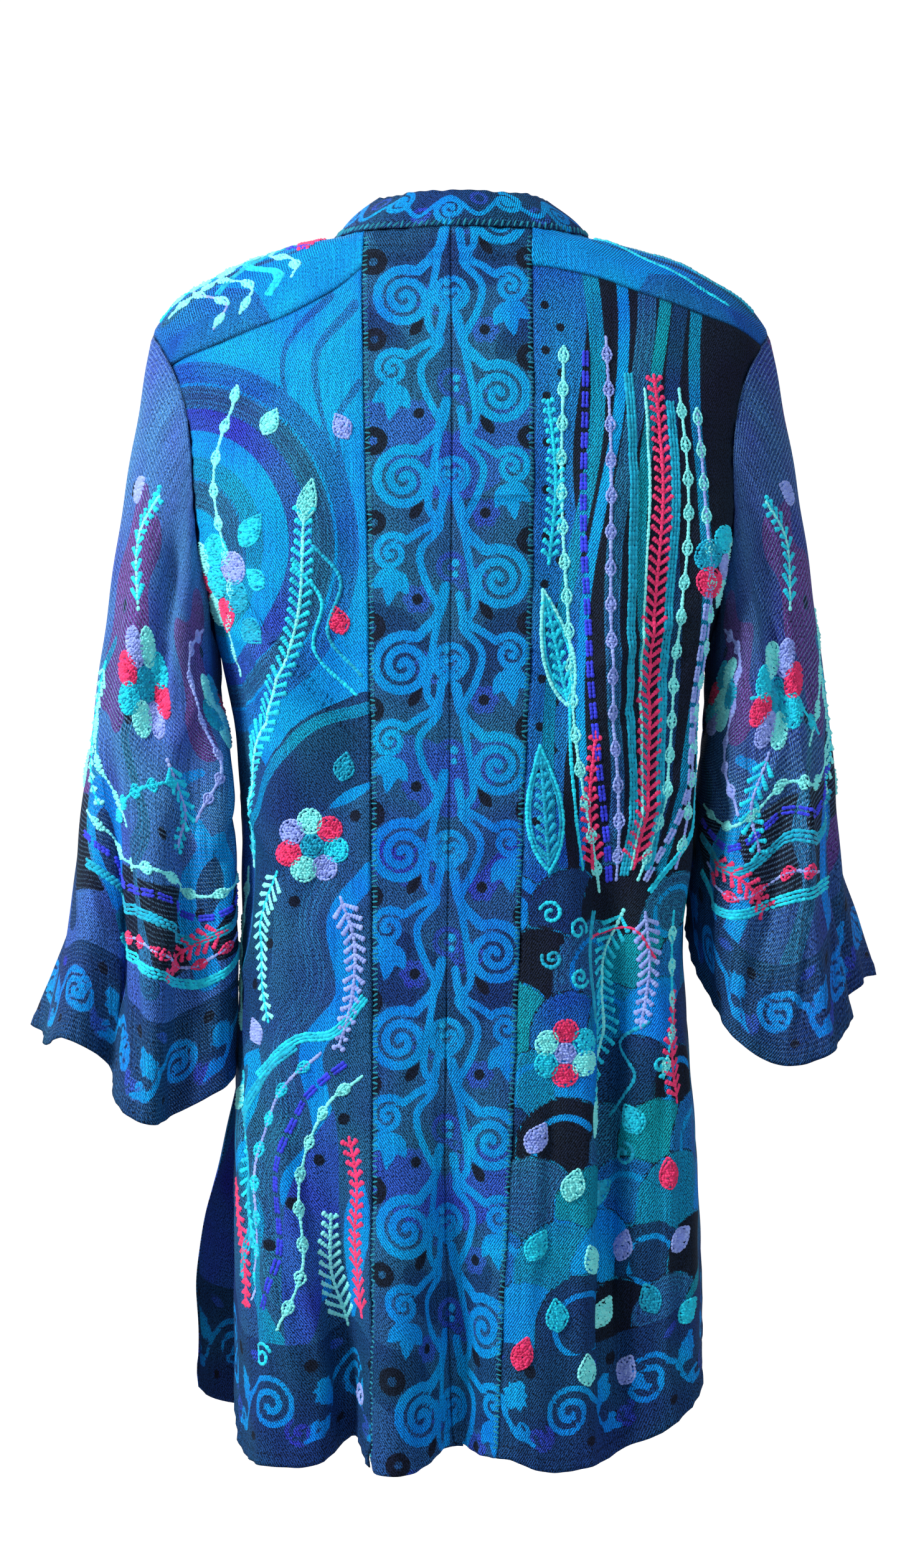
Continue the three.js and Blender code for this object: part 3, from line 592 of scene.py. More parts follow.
def shade_line_distance(flat, from_edge, creases, rolls, hem):
    """Distance to the nearest seam, hem stitch or sharp crease, where painted shade darkens the cloth."""
    lines = [from_edge[edge] + 2 * max(0, 0.6 - depth) for edge, depth, _ in rolls]
    lines.append(np.full(flat.shape[:2], 50.0))
    if hem:
        lines.append(np.abs(from_edge[hem] - HEM_STITCH) + 0.5)
    for start, end, _, breadth in creases:
        if breadth < NARROW_CREASE:
            lines.append(beside(flat, start, end)[1] + 0.3)
    return np.minimum.reduce(lines)


# %% from a grid to a piece of cloth
def grid_mesh(name, points, normal):
    """A grid of faces through the points, turned outwards."""
    rows, columns = points.shape[:2]
    bm = bmesh.new()
    bmesh.ops.create_grid(bm, x_segments=columns - 1, y_segments=rows - 1, size=0.5)
    mesh = bpy.data.meshes.new(name)
    bm.to_mesh(mesh)
    bm.free()
    mesh.vertices.foreach_set("co", (points * MM).ravel())
    mesh.update()
    middle = mesh.polygons[len(mesh.polygons) // 2]
    if middle.normal.dot(Vector(normal.reshape(-1, 3)[middle.vertices[0]])) < 0:
        mesh.flip_normals()
    mesh.shade_smooth()
    return mesh


def note_measures(mesh, flat, shaded_line_gap):
    """Writes the flat measure, the distance to the lines of painted shade and the cloth's own map on the
    mesh.
    """
    measure = mesh.attributes.new("flat", "FLOAT_VECTOR", "POINT")
    measure.data.foreach_set("vector", np.concatenate([flat, 0 * flat[..., :1]], -1).ravel())
    seam = mesh.attributes.new("shaded_line_gap", "FLOAT", "POINT")
    seam.data.foreach_set("value", shaded_line_gap.ravel())
    layer = mesh.uv_layers.new(name="cloth")
    corners = np.empty(len(mesh.loops), int)
    mesh.loops.foreach_get("vertex_index", corners)
    layer.data.foreach_set("uv", (flat.reshape(-1, 2)[corners] * MM).ravel())


cloths = {}
SIDE_COLUMNS = {"near": (0, 1), "far": (-1, -2)}


def make_cloth(name, node, points, flat, away, creases=(), rolls=(), hem=None, thickness=CLOTH,
               puckers=()):
    """Lays a grid on a surface, presses its relief into it and gives it the thickness of cloth."""
    normal = grid_normals(points)
    normal *= np.sign((normal * away).sum(-1).mean())
    from_edge = edge_distances(points)
    points = points + normal * relief(flat, from_edge, creases, rolls, puckers)[..., None]
    if hem:
        gap = from_edge[hem]
        step = 0.7 * ease((HEM_FOLD - gap) / 2) - 0.35 * np.exp(-(((gap - HEM_STITCH) / 0.9) ** 2))
        points = points + normal * step[..., None]
    for edge in [roll[0] for roll in rolls if roll[0] in SIDE_COLUMNS]:
        at, next_to = SIDE_COLUMNS[edge]
        step = points[:, next_to] - points[:, at]
        points[:, at] += SEAM_GAP / 2 * step / np.linalg.norm(step, axis=-1, keepdims=True)
    mesh = grid_mesh(name, points, normal)
    piece = bpy.data.objects.new(name, mesh)
    bpy.context.collection.objects.link(piece)
    note_measures(mesh, flat, shade_line_distance(flat, from_edge, creases, rolls, hem))
    shell = piece.modifiers.new("thickness", "SOLIDIFY")
    shell.thickness = thickness * MM
    shell.offset = -1
    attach(piece, "root")
    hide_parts(node)
    cloths[name] = {"object": piece, "points": points, "normal": normal, "flat": flat,
                    "from_edge": from_edge}
    print(name, "faces", len(mesh.polygons), "flat size", np.ptp(flat.reshape(-1, 2), 0).round())


# %% [markdown]
# ### Creases
# Worn cloth creases where the arm pulls on the back, and hangs in soft ridges above the hem. Each row
# is one crease on the flat cloth. Narrow ones, under 3 mm, are pressed seams and tucks.

# %% creases
# start, end, height and half breadth, in flat millimetres
CREASES = {
    "border_strip_left": [((9, 40), (10, 880), 0.3, 3.2), ((2, 24), (66, 25), -0.8, 2.0),
                          ((0, 15), (70, 13), -0.7, 2.5), ((0, 19), (70, 19), 0.7, 3.5),
                          ((4, 560), (50, 640), 0.9, 9),
                          ((54, 330), (18, 400), 0.8, 8), ((10, 760), (40, 880), -1.3, 7)],
    "border_strip_right": [((9, 40), (9, 880), 0.3, 3.2), ((2, 25), (50, 24), -0.8, 2.0),
                           ((0, 14), (56, 12), -0.7, 2.5), ((0, 19), (56, 19), 0.7, 3.5),
                           ((4, 203), (52, 201), 1.4, 2.0),
                           ((6, 600), (44, 700), -1.0, 8), ((40, 420), (12, 470), 0.8, 8)],
    "back_left": [((108, 262), (4, 374), -1.1, 1.3), ((108, 269), (6, 382), -1.1, 1.3),
                  ((122, 290), (38, 352), 1.7, 7), ((128, 322), (50, 392), -1.4, 6),
                  ((134, 410), (64, 468), 1.7, 8),
                  ((10, 410), (62, 520), -1.1, 8), ((96, 170), (24, 232), 1.1, 9),
                  ((116, 140), (54, 118), -1.0, 7),
                  ((108, 600), (88, 860), 2.4, 8), ((60, 640), (50, 885), -2.4, 7),
                  ((76, 600), (70, 880), 1.6, 6), ((122, 620), (128, 860), -2.0, 6),
                  ((28, 560), (34, 720), 1.2, 9),
                  ((140, 520), (120, 700), -1.6, 7), ((84, 500), (140, 560), 1.3, 8)],
    "back_right": [((120, 280), (40, 330), 1.6, 7), ((126, 310), (54, 372), -1.3, 6),
                   ((128, 400), (60, 450), 1.6, 8),
                   ((52, 540), (62, 885), 1.9, 8), ((78, 560), (88, 885), -2.8, 7),
                   ((28, 620), (24, 886), -1.5, 6),
                   ((104, 560), (106, 886), 1.8, 6), ((130, 600), (140, 880), -2.0, 6),
                   ((64, 470), (90, 560), 1.5, 6), ((110, 600), (122, 880), 2.2, 9),
                   ((150, 560), (160, 870), -2.0, 8), ((20, 640), (26, 860), 1.2, 7),
                   ((100, 150), (40, 190), -1.0, 8),
                   ((30, 420), (70, 500), -1.1, 8)],
    "sleeve_cloth_left": [((60, 70), (112, 170), 1.9, 8), ((132, 46), (122, 160), -1.7, 8),
                          ((92, 230), (140, 340), 2.6, 9),
                          ((164, 240), (152, 410), -2.6, 9), ((60, 260), (82, 400), 1.8, 8),
                          ((190, 200), (214, 400), 2.0, 10),
                          ((30, 180), (70, 250), -1.6, 7), ((120, 200), (60, 238), 1.6, 6),
                          ((150, 300), (110, 330), -1.4, 6)],
    "sleeve_cloth_right": [((60, 70), (110, 160), 1.8, 8), ((130, 50), (122, 150), -1.6, 8),
                           ((134, 205), (151, 364), 2.0, 1.6),
                           ((110, 210), (112, 360), -2.2, 8), ((60, 230), (80, 350), 2.0, 8),
                           ((180, 200), (206, 350), -2.0, 9),
                           ((34, 160), (72, 220), -1.6, 7), ((118, 180), (66, 216), 1.5, 6)],
    "front_cloth_left": [((60, 180), (110, 260), 1.6, 8), ((130, 240), (70, 330), -1.5, 8),
                         ((40, 560), (52, 900), 2.0, 9),
                         ((90, 600), (96, 900), -2.0, 9), ((140, 560), (150, 880), 2.2, 9)],
    "front_cloth_right": [((66, 180), (112, 250), 1.6, 8), ((126, 250), (66, 336), -1.5, 8),
                          ((44, 580), (50, 900), -2.0, 9),
                          ((84, 600), (92, 900), 2.0, 9), ((130, 560), (146, 880), -2.2, 9)],
    "collar": [((90, 2), (120, 34), 0.7, 4), ((250, 34), (262, 4), -0.8, 5),
               ((330, 4), (352, 34), 0.8, 5), ((470, 30), (500, 4), 0.7, 5)],
}

print("creases:", {name: len(rows) for name, rows in CREASES.items()})

# %% [markdown]
# ### Laying the pieces
# Every piece rolls in a little at its seams, and its stitched edges pucker. The strips pucker on all
# four edges, because a narrow strip sewn between two panels is easily a little too long or too short.


# %% strips and back panels
def lay_strip(side):
    angle, z = strip_net(side)
    points = body_point(angle, z)
    flat = np.stack([run_lengths(points, 1), -z], -1)
    name = f"border_strip_{side}"
    make_cloth(name, f"back_strip_{side}", points, flat, outward_level(angle), CREASES[name],
               [("near", 0.25, 1.8), ("far", 0.6, 2.0), ("top", 0.6, 2.5)], "foot",
               puckers=[("far", 0.45, 7), ("near", 0.3, 7), ("foot", 0.6, 16), ("top", 0.5, 12)])


def lay_back_panel(side):
    angle, z = back_panel_net(side)
    points = body_point(angle, z)
    flat = np.stack([run_lengths(points, 1), -z], -1)
    name = f"back_{side}"
    make_cloth(name, f"back_panel_{side}", points, flat, outward_level(angle), CREASES[name],
               [("near", 0.6, 2.2), ("far", 0.8, 2.5), ("top", 0.6, 2.5)], "foot",
               puckers=[("near", 0.45, 8), ("foot", 0.6, 16), ("far", 0.4, 9)])


# %% fronts and sleeves
CREST_ROW = 20  # the row of the front's net that lies on the shoulder


def lay_front(side):
    angle, z = front_net(side)
    points = body_point(angle, z)
    flat = flat_down(points, CREST_ROW)
    name = f"front_cloth_{side}"
    make_cloth(name, f"front_{side}", points, flat, outward_level(angle), CREASES[name],
               [("far", 0.8, 2.5), ("top", 0.6, 2.5)], "foot",
               puckers=[("foot", 0.5, 14), ("near", 0.3, 8)])


def lay_sleeve(side, rows=141, columns=193):
    turn = np.linspace(math.pi, -math.pi, columns)[None] + np.zeros((rows, 1))
    length = np.linspace(0, 1, rows)[:, None] + 0 * turn
    points = sleeve_point(side, turn, length)
    sign = 1 if side == "left" else -1
    away = np.stack([sign * np.cos(turn), np.sin(turn), 0 * turn], -1)
    name = f"sleeve_cloth_{side}"
    make_cloth(name, f"sleeve_{side}", points, flat_down(points), away, CREASES[name],
               [("top", 0.9, 2.5)],
               "foot", puckers=[("foot", 0.5, 12), ("top", 0.4, 8)])


for side in ("left", "right"):
    lay_strip(side)
    lay_back_panel(side)
    lay_front(side)
    lay_sleeve(side)

# %% collar
reach = float(front_edge_angle(np.float64(-FRONT_NECK_DROP)))
angle = np.linspace(reach, -reach, 301)[None] + np.zeros((19, 1))
share = np.linspace(1, 0.01, 19)[:, None] + 0 * angle
points = collar_point(angle, share)
flat = flat_down(points)
flat[..., 0] = flat[len(flat) // 2, :, 0]  # cut as one straight band, so its figures don't slant
make_cloth("collar", "collar_band", points, flat, outward_level(angle), CREASES["collar"],
           [("foot", 0.5, 2.0)], thickness=1.6, puckers=[("top", 0.35, 9), ("foot", 0.3, 6)])

# %% [markdown]
# ### Backings
# Behind the centre seam and the two strip seams lie narrow seam allowances, pressed open, and a
# tape covers the collar seam on the inside. Between two edges that only meet, light would show through.

# %% seam allowances and neck tape
ALLOWANCE_HALF = 7
ALLOWANCE_DEPTH = 2.0
for name, line, node in [("allowance_centre", "seam", "back_strip_left"),
                         ("allowance_left", "left", "back_panel_left"),
                         ("allowance_right", "right", "back_panel_right")]:
    start, end = (-1, -BACK_LENGTH + 12) if line == "seam" else (-34, -BACK_LENGTH + 14)
    z = np.linspace(start, end, 280)[:, None] + np.zeros((1, 5))
    width = np.linspace(-ALLOWANCE_HALF, ALLOWANCE_HALF, 5)[None] + 0 * z
    middle = body_point(strip_angle(line, z), z)
    turn = angle_across(middle[..., 0] + width, z)
    points = body_point(turn, z)
    square = grid_normals(points)
    outwards = np.sign((square * outward_level(turn)).sum(-1, keepdims=True))
    points = points - square * ALLOWANCE_DEPTH * outwards
    flat = np.stack([width + ALLOWANCE_HALF, -z], -1)
    make_cloth(name, node, points, flat, outward_level(turn), thickness=0.8)

angle = np.linspace(reach, -reach, 151)[None] + np.zeros((5, 1))
drop = np.linspace(7, -7, 5)[:, None] + 0 * angle
low = body_point(angle, neckline_z(angle) + np.minimum(drop, 0))
points = np.where(drop[..., None] > 0, collar_point(angle, np.maximum(drop, 0) / COLLAR_HEIGHT), low)
outline = points[..., :2] / np.linalg.norm(points[..., :2], axis=-1, keepdims=True)
points[..., :2] -= 2.6 * outline
points[..., 2] -= 1.2
make_cloth("neck_tape", "collar_band", points, flat_down(points), outward_level(angle), thickness=0.8)
BACKINGS = ["allowance_centre", "allowance_left", "allowance_right", "neck_tape"]

# %% [markdown]
# ## Woven figures
# The shawl cloth is a jacquard: figures in light weft lie on a ground of dark warp. Each colour has one
# field over the flat cloth, in millimetres inside its edge. The material cuts it off at zero, so an
# edge stays as crisp as a woven one, whatever the size of the faces.

# %% lines on flat cloth
def spline(points, steps=8):
    """A smooth line through a few points."""
    points = np.array(points, float)
    padded = np.vstack([2 * points[0] - points[1], points, 2 * points[-1] - points[-2]])
    t = np.linspace(0, 1, steps, endpoint=False)[:, None]
    line = []
    for a, b, c, d in zip(padded[:-3], padded[1:-2], padded[2:-1], padded[3:]):
        second = (2 * a - 5 * b + 4 * c - d) * t**2
        third = (3 * b - a - 3 * c + d) * t**3
        line.append(0.5 * (2 * b + (c - a) * t + second + third))
    return np.vstack(line + [points[-1:]])


def line_distance(flat, points):
    """Distance from each place of the cloth to a line, and the share of the line at the nearest place."""
    points = np.asarray(points, float)
    nearest = np.full(flat.shape[:-1], 1e6)
    share = np.zeros(flat.shape[:-1])
    lengths = np.linalg.norm(np.diff(points, axis=0), axis=1)
    start = np.concatenate([[0], np.cumsum(lengths)]) / max(lengths.sum(), 1e-9)
    for a, b, s0, s1 in zip(points[:-1], points[1:], start[:-1], start[1:]):
        line = b - a
        t = np.clip(((flat - a) @ line) / max(line @ line, 1e-9), 0, 1)
        gap = np.hypot(flat[..., 0] - a[0] - t * line[0], flat[..., 1] - a[1] - t * line[1])
        closer = gap < nearest
        nearest = np.where(closer, gap, nearest)
        share = np.where(closer, s0 + t * (s1 - s0), share)
    return nearest, share


# %% shapes on flat cloth
def stroke(flat, points, width, end_width=None):
    gap, share = line_distance(flat, points)
    return mix(width, width if end_width is None else end_width, share) / 2 - gap


def ring(flat, centre, radius, width):
    return width / 2 - np.abs(np.hypot(flat[..., 0] - centre[0], flat[..., 1] - centre[1]) - radius)


def disc(flat, centre, radius):
    return radius - np.hypot(flat[..., 0] - centre[0], flat[..., 1] - centre[1])


def patch(flat, outline):
    """A filled shape: the distance inside its outline, negative outside."""
    outline = np.asarray(outline, float)
    closed = np.vstack([outline, outline[:1]])
    inside = np.zeros(flat.shape[:-1], bool)
    for a, b in zip(closed[:-1], closed[1:]):
        if a[1] != b[1]:
            crosses = (a[1] > flat[..., 1]) != (b[1] > flat[..., 1])
            at = a[0] + (flat[..., 1] - a[1]) * (b[0] - a[0]) / (b[1] - a[1])
            inside ^= crosses & (flat[..., 0] < at)
    gap = line_distance(flat, closed)[0]
    return np.where(inside, gap, -gap)


def spiral(centre, radius, turns, start, way=1, core=0.12):
    """A curl from its outer end to its core. Angles are in degrees, down the cloth is 90."""
    t = np.linspace(0, 1, int(14 * turns) + 4)
    angle = np.radians(start) + way * 2 * math.pi * turns * t
    r = radius * mix(1, core, t)
    return np.stack([centre[0] + r * np.cos(angle), centre[1] + r * np.sin(angle)], 1)


def leaf(base, tip, breadth, steps=12):
    """The outline of a pointed leaf."""
    base, tip = np.array(base, float), np.array(tip, float)
    along = tip - base
    side = np.array([-along[1], along[0]]) / np.hypot(*along)
    t = np.linspace(0, 1, steps)
    bulge = breadth / 2 * np.sin(math.pi * t**0.8)
    return np.vstack([base + along * t[:, None] + side * bulge[:, None],
                      (base + along * t[:, None] - side * bulge[:, None])[::-1][1:-1]])


def heart(centre, size):
    t = np.linspace(0, 2 * math.pi, 40, endpoint=False)
    x = 0.5 * np.sin(t) ** 3
    y = -(13 * np.cos(t) - 5 * np.cos(2 * t) - 2 * np.cos(3 * t) - np.cos(4 * t)) / 32
    return np.stack([centre[0] + size * x, centre[1] + size * y], 1)


print("points of a leaf:", len(leaf((0, 0), (0, 20), 8)), "and of a heart:", len(heart((0, 0), 10)))


# %% colours laid one over another
class Figures:
    """Colours laid one over another, as fields that don't overlap."""

    def __init__(self, flat):
        self.flat = flat
        self.fields = {}

    def lay(self, colour, *shapes):
        shape = np.maximum.reduce(shapes)
        for other in self.fields:
            if other != colour:
                self.fields[other] = np.minimum(self.fields[other], -shape)
        self.fields[colour] = np.maximum(self.fields.get(colour, np.full(shape.shape, -99.0)), shape)


# wool and viscose yarns of the woven cloth: strong dyes with a soft look
YARNS = {
    "azure": "#0492e4",
    "sky": "#16a8ee",
    "deep": "#10589f",
    "indigo": "#22479a",
    "slate": "#1a4a75",
    "navy": "#10365f",
    "black": "#0c1422",
    "petrol": "#0676a4",
    "teal": "#068ca4",
    "purple": "#4c2d72",
    "steel": "#2f5c9e",
    # dusk is partly painted shade: it is darkened for the right sleeve's ground, which hangs in shade
    "dusk": "#22407c",
}
print("yarn colours:", len(YARNS))

# %% [markdown]
# ## The running scroll
# The centre strips, the hems, the cuffs and the collar carry a running scroll: curls on a waving stem,
# toothed leaves and hearts, as on many shawl borders. It is drawn by rule and repeats down the cloth.


# %% leaves of the scrolls
def toothed_leaf(base, tip, breadth):
    outline = leaf(base, tip, breadth, 10)
    middle = outline.mean(0)
    teeth = np.where(np.arange(len(outline)) % 2, 0.72, 1.18)[:, None]
    return middle + (outline - middle) * teeth


def lobed_leaf(flat, base, length, lean=90):
    """Three pointed lobes from one base. The lean is the direction of the middle lobe in degrees."""
    lobes = []
    for turn, share in ((-42, 0.8), (0, 1), (40, 0.78)):
        away = np.radians(lean + turn)
        tip = (base[0] + length * share * math.cos(away), base[1] + length * share * math.sin(away))
        lobes.append(patch(flat, leaf(base, tip, 0.42 * length)))
    return np.maximum.reduce(lobes)


print("points of a toothed leaf:", len(toothed_leaf((0, 0), (0, 20), 8)))


# %% scroll of the centre strips
def strip_scroll(figures, first, last, seam_hearts, repeat=134):
    """A scroll with curls and leaves. Halves of hearts meet their mirror images across the centre seam."""
    flat = figures.flat
    azure, indigo, black, sky = [], [], [], []
    for v0 in np.arange(seam_hearts, last, repeat):
        azure.append(stroke(flat, spiral((0, v0), 13, 1.0, 90, 1, 0.85), 4.6))
        azure.append(stroke(flat, heart((0, v0 + 1), 13), 3.4))
        indigo.append(ring(flat, (0, v0 + 66), 9, 4))
        indigo.append(disc(flat, (0, v0 + 66), 3))
    for v0 in np.arange(first, last, repeat):
        large = np.vstack([spline([(4, v0 - 24), (9, v0 - 4), (20, v0 + 8)])[:-1],
                           spiral((34, v0 + 33), 23, 2.25, -116, 1, 0.08)])
        small = np.vstack([spline([(6, v0 + 44), (10, v0 + 62), (24, v0 + 71)])[:-1],
                           spiral((43, v0 + 86), 14, 1.7, -140, 1, 0.1)])
        stem = spline([(9, v0 - 2), (17, v0 + 50), (8, v0 + 66), (22, v0 + 84), (19, v0 + 104),
                       (8, v0 + 126)])
        azure += [
            stroke(flat, large, 7.4, 5.2),
            stroke(flat, small, 6.0, 4.0),
            stroke(flat, stem, 5.0, 5.4),
            lobed_leaf(flat, (41, v0 + 98), 27, 80),
        ]
        sky += [disc(flat, (3, v0 + 21), 3), disc(flat, (3, v0 + 29), 2.4)]
        for n in range(6):
            turn = 2 * math.pi * n / 6
            indigo.append(ring(flat, (15 + 8 * math.cos(turn), v0 + 34 + 8 * math.sin(turn)), 3.6, 3))
            indigo.append(disc(flat, (24 + 7 * math.cos(turn), v0 + 119 + 7 * math.sin(turn)), 4))
        black += [disc(flat, (24, v0 + 119), 4), ring(flat, (56, v0 + 64), 6, 6),
                  ring(flat, (57, v0 + 5), 7, 7),
                  patch(flat, leaf((30, v0 + 62), (20, v0 + 48), 8)), disc(flat, (9, v0 + 131), 3)]
    drift = 26 * np.sin(flat[..., 1] / 41 + 0.6) + 14 * np.sin(flat[..., 1] / 17 + flat[..., 0] / 23)
    figures.lay("navy", drift - 14 - 0.3 * np.abs(flat[..., 0] - 34))
    figures.lay("indigo", *indigo, -drift - 17 - 0.25 * np.abs(flat[..., 0] - 20))
    figures.lay("black", *black)
    figures.lay("azure", *azure)
    figures.lay("sky", *sky)


# %% scroll of the hems and cuffs
def hem_scroll(figures, edge_gap, depth, start=0, repeat=78):
    """Curls along a hem. The edge gap is the distance to the hem at each place of the cloth."""
    flat = figures.flat
    place = np.stack([flat[..., 0], edge_gap], -1)
    width = place[..., 0].max()
    figures.lay("navy", depth - edge_gap)
    azure, indigo, black = [], [], []
    for u0 in np.arange(start - repeat, width + repeat, repeat):
        stem = spline([(u0 + 47, 0.55 * depth), (u0 + 58, 0.3 * depth), (u0 + 76, 0.2 * depth)])
        swirl = spiral((u0 + 24, 0.5 * depth), 0.24 * depth, 1.9, 20, 1)[::-1]
        azure += [
            stroke(place, np.vstack([swirl, stem]), 5, 4),
            patch(place, toothed_leaf((u0 + 55, 0.42 * depth), (u0 + 66, 0.74 * depth), 20)),
            stroke(place, spiral((u0 + 66, 0.3 * depth), 0.1 * depth, 1.2, 200, 1), 3.4),
        ]
        indigo += [stroke(place, spiral((u0 + 2, 0.28 * depth), 0.13 * depth, 1.4, 60, -1), 4),
                   patch(place, leaf((u0 + 36, 0.82 * depth), (u0 + 52, 0.9 * depth), 8))]
        black += [disc(place, (u0 + 70, 0.82 * depth), 5), disc(place, (u0 + 42, 0.22 * depth), 4)]
    figures.lay("indigo", *[np.minimum(one, depth - 3 - edge_gap) for one in indigo])
    figures.lay("black", *[np.minimum(one, depth - 3 - edge_gap) for one in black])
    figures.lay("azure", *[np.minimum(one, depth - 3 - edge_gap) for one in azure])


# %% [markdown]
# ## Figures of the panels
# The panels carry broad arcs, waves, hatched bands and leaves in blues, in a layout made for this
# model. Colours, sizes and density are those of such shawl cloth. A painted picture could hold them,
# but fields drawn by rule stay sharp at any distance.


# %% flames on the shoulder
def yoke_flames(figures):
    """Azure over the shoulder, with dark flame-like lines running out to the arm."""
    flat = figures.flat
    figures.lay("azure", 46 + 7 * np.sin(flat[..., 0] / 19) - flat[..., 1])
    figures.lay("deep", np.minimum(flat[..., 0] - 96 - 0.5 * (flat[..., 1] + 60), 40 - flat[..., 1]))
    for k in range(4):
        line = [(24 + 12 * k, -48 + 20 * k), (80 + 8 * k, -30 + 20 * k), (150, -34 + 24 * k)]
        figures.lay("navy" if k % 2 else "slate", stroke(flat, spline(line), 2, 15))


# %% azure panels
def azure_panel(cloth, reach):
    """Open azure above, with broad arcs, and waves over a dark ground below."""
    flat = cloth["flat"]
    figures = Figures(flat)
    u, v = flat[..., 0], flat[..., 1]
    figures.lay("azure", 395 + 30 * np.sin(u / 31 + 0.5) - v)
    centre = (reach + 22, 235)
    for radius, width, colour in [(128, 15, "deep"), (110, 15, "slate"), (93, 16, "indigo"),
                                  (74, 14, "azure"),
                                  (58, 15, "petrol"), (38, 20, "slate")]:
        figures.lay(colour, np.minimum(ring(flat, centre, radius, width), 380 - v))
    for start, bend, end, width in [((8, 60), (40, 100), (26, 170), 9),
                                    ((30, 52), (66, 92), (58, 150), 7),
                                    ((4, 118), (22, 150), (12, 200), 6)]:
        figures.lay("deep", stroke(flat, spline([start, bend, end]), width, 1.5))
    figures.lay("navy", stroke(flat, spline([(0, 372), (45, 396), (95, 470), (110, 560), (190, 640)]), 62,
                               36))
    figures.lay("petrol", stroke(flat, spline([(0, 352), (52, 372), (108, 446), (128, 540), (205, 610)]),
                                 9, 9))
    figures.lay("azure", stroke(flat, spline([(0, 470), (26, 505), (20, 560), (48, 600), (40, 660),
                                              (66, 700), (60, 770)]), 15, 22))
    figures.lay("slate", stroke(flat, spline([(26, 455), (48, 500), (44, 552), (72, 596), (66, 650),
                                              (94, 690), (90, 775)]), 13, 17))
    figures.lay("petrol", stroke(flat, spline([(128, 690), (104, 720), (120, 770), (96, 830)]), 20, 26))
    figures.lay("azure", patch(flat, leaf((96, 600), (150, 700), 42)),
                patch(flat, leaf((8, 690), (34, 800), 30)))
    figures.lay("slate", patch(flat, leaf((106, 612), (143, 684), 22)))
    figures.lay("deep", patch(flat, leaf((160, 560), (228, 700), 52)),
                patch(flat, leaf((214, 720), (262, 800), 36)))
    figures.lay("indigo", patch(flat, leaf((30, 640), (96, 840), 40)),
                patch(flat, leaf((150, 430), (120, 540), 34)))
    figures.lay("black", *[disc(flat, (12 + 23 * k % 150, 430 + 31 * k), 4.5) for k in range(11)])
    hem_scroll(figures, cloth["from_edge"]["foot"], 88, start=8)
    return figures


# %% striped panels
def striped_panel(cloth):
    """Flowing stripes above, overlapping scales below."""
    flat = cloth["flat"]
    figures = Figures(flat)
    u, v = flat[..., 0], flat[..., 1]
    figures.lay("deep", 34 + 6 * np.sin(v / 37) - u)
    figures.lay("black", *[disc(flat, (9 + 11 * (k % 2), 60 + 17 * k), 3.2) for k in range(24)])
    for k, (colour, width) in enumerate([("petrol", 12), ("azure", 9), ("slate", 15), ("teal", 10),
                                         ("navy", 13), ("petrol", 10)]):
        line = [(42 + 19 * k + 10 * math.sin(0.9 * j + 0.7 * k) - 3 * j, 20 + 62 * j) for j in range(9)]
        figures.lay(colour, stroke(flat, spline(line), width, width * 0.6))
    colours = ["azure", "slate", "petrol", "black", "deep", "navy", "teal"]
    for row in range(8):
        for column in range(7):
            centre = (column * 46 + 23 * (row % 2) - 8, 500 + 42 * row)
            colour = colours[(3 * row + 5 * column) % 7]
            size = 29 + 4 * ((row + column) % 3)
            dome = np.minimum(disc(flat, centre, size), centre[1] + 4 - v)
            skirt = np.minimum(np.minimum(size - np.abs(u - centre[0]), v - centre[1] + 4),
                               centre[1] + 46 - v)
            scale = np.maximum(dome, skirt)
            figures.lay(colour, scale)
            figures.lay("azure" if colour in ("petrol", "teal") else "petrol", 0.8 - np.abs(scale - 1))
            if (row + 2 * column) % 3 == 0:
                figures.lay("azure" if colour != "azure" else "navy", ring(flat, centre, size * 0.6, 4.5))
    hem_scroll(figures, cloth["from_edge"]["foot"], 82, start=30)
    return figures


# %% sleeve figures
def sleeve_figures(cloth, side):
    """Steel blue with purple clouds above, waves and leaves lower down, a scroll at the cuff."""
    flat = cloth["flat"]
    figures = Figures(flat)
    u, v = flat[..., 0], flat[..., 1]
    around = u.max(1).mean()
    for at, high, size in [(0.16, 90, 34), (0.36, 130, 40), (0.6, 60, 38), (0.84, 120, 40),
                           (0.46, 235, 30)]:
        spot = np.hypot((u - at * around) * 1.3, (v - high) * 0.6)
        spot = spot + 7 * np.sin(v / 9 + at * 9) + 5 * np.sin(u / 7)
        figures.lay("purple", size - spot)
    low = v.max() - 168
    for k in range(5):
        start = (around * (0.02 + 0.2 * k), low + 36 + 8 * math.sin(2 * k))
        end = (start[0] + around * 0.15, start[1] + 10)
        figures.lay("black", stroke(flat, [start, end], 62, 50))
    for k in range(9):
        start = around * (0.04 + 0.115 * k)
        line = [(start, 150 + 20 * math.sin(k)), (start + 16, 190), (start - 4, 230), (start + 14, 270),
                (start, 330)]
        figures.lay(["navy", "azure", "slate", "petrol"][k % 4], stroke(flat, spline(line), 6, 20))
    for k in range(4):
        base = (around * (0.12 + 0.24 * k), 215 + 12 * (k % 2))
        figures.lay("azure", patch(flat, leaf(base, (base[0] + 24, base[1] + 96), 40)))
        figures.lay("navy", patch(flat, leaf((base[0] + 7, base[1] + 22), (base[0] + 20, base[1] + 80),
                                             20)))
    figures.lay("black", *[disc(flat, (around * ((0.13 + 0.31 * k) % 1), 60 + 17 * k),
                                4.2) for k in range(14)])
    hem_scroll(figures, cloth["from_edge"]["foot"], 74, start=12 if side == "left" else 40, repeat=72)
    return figures


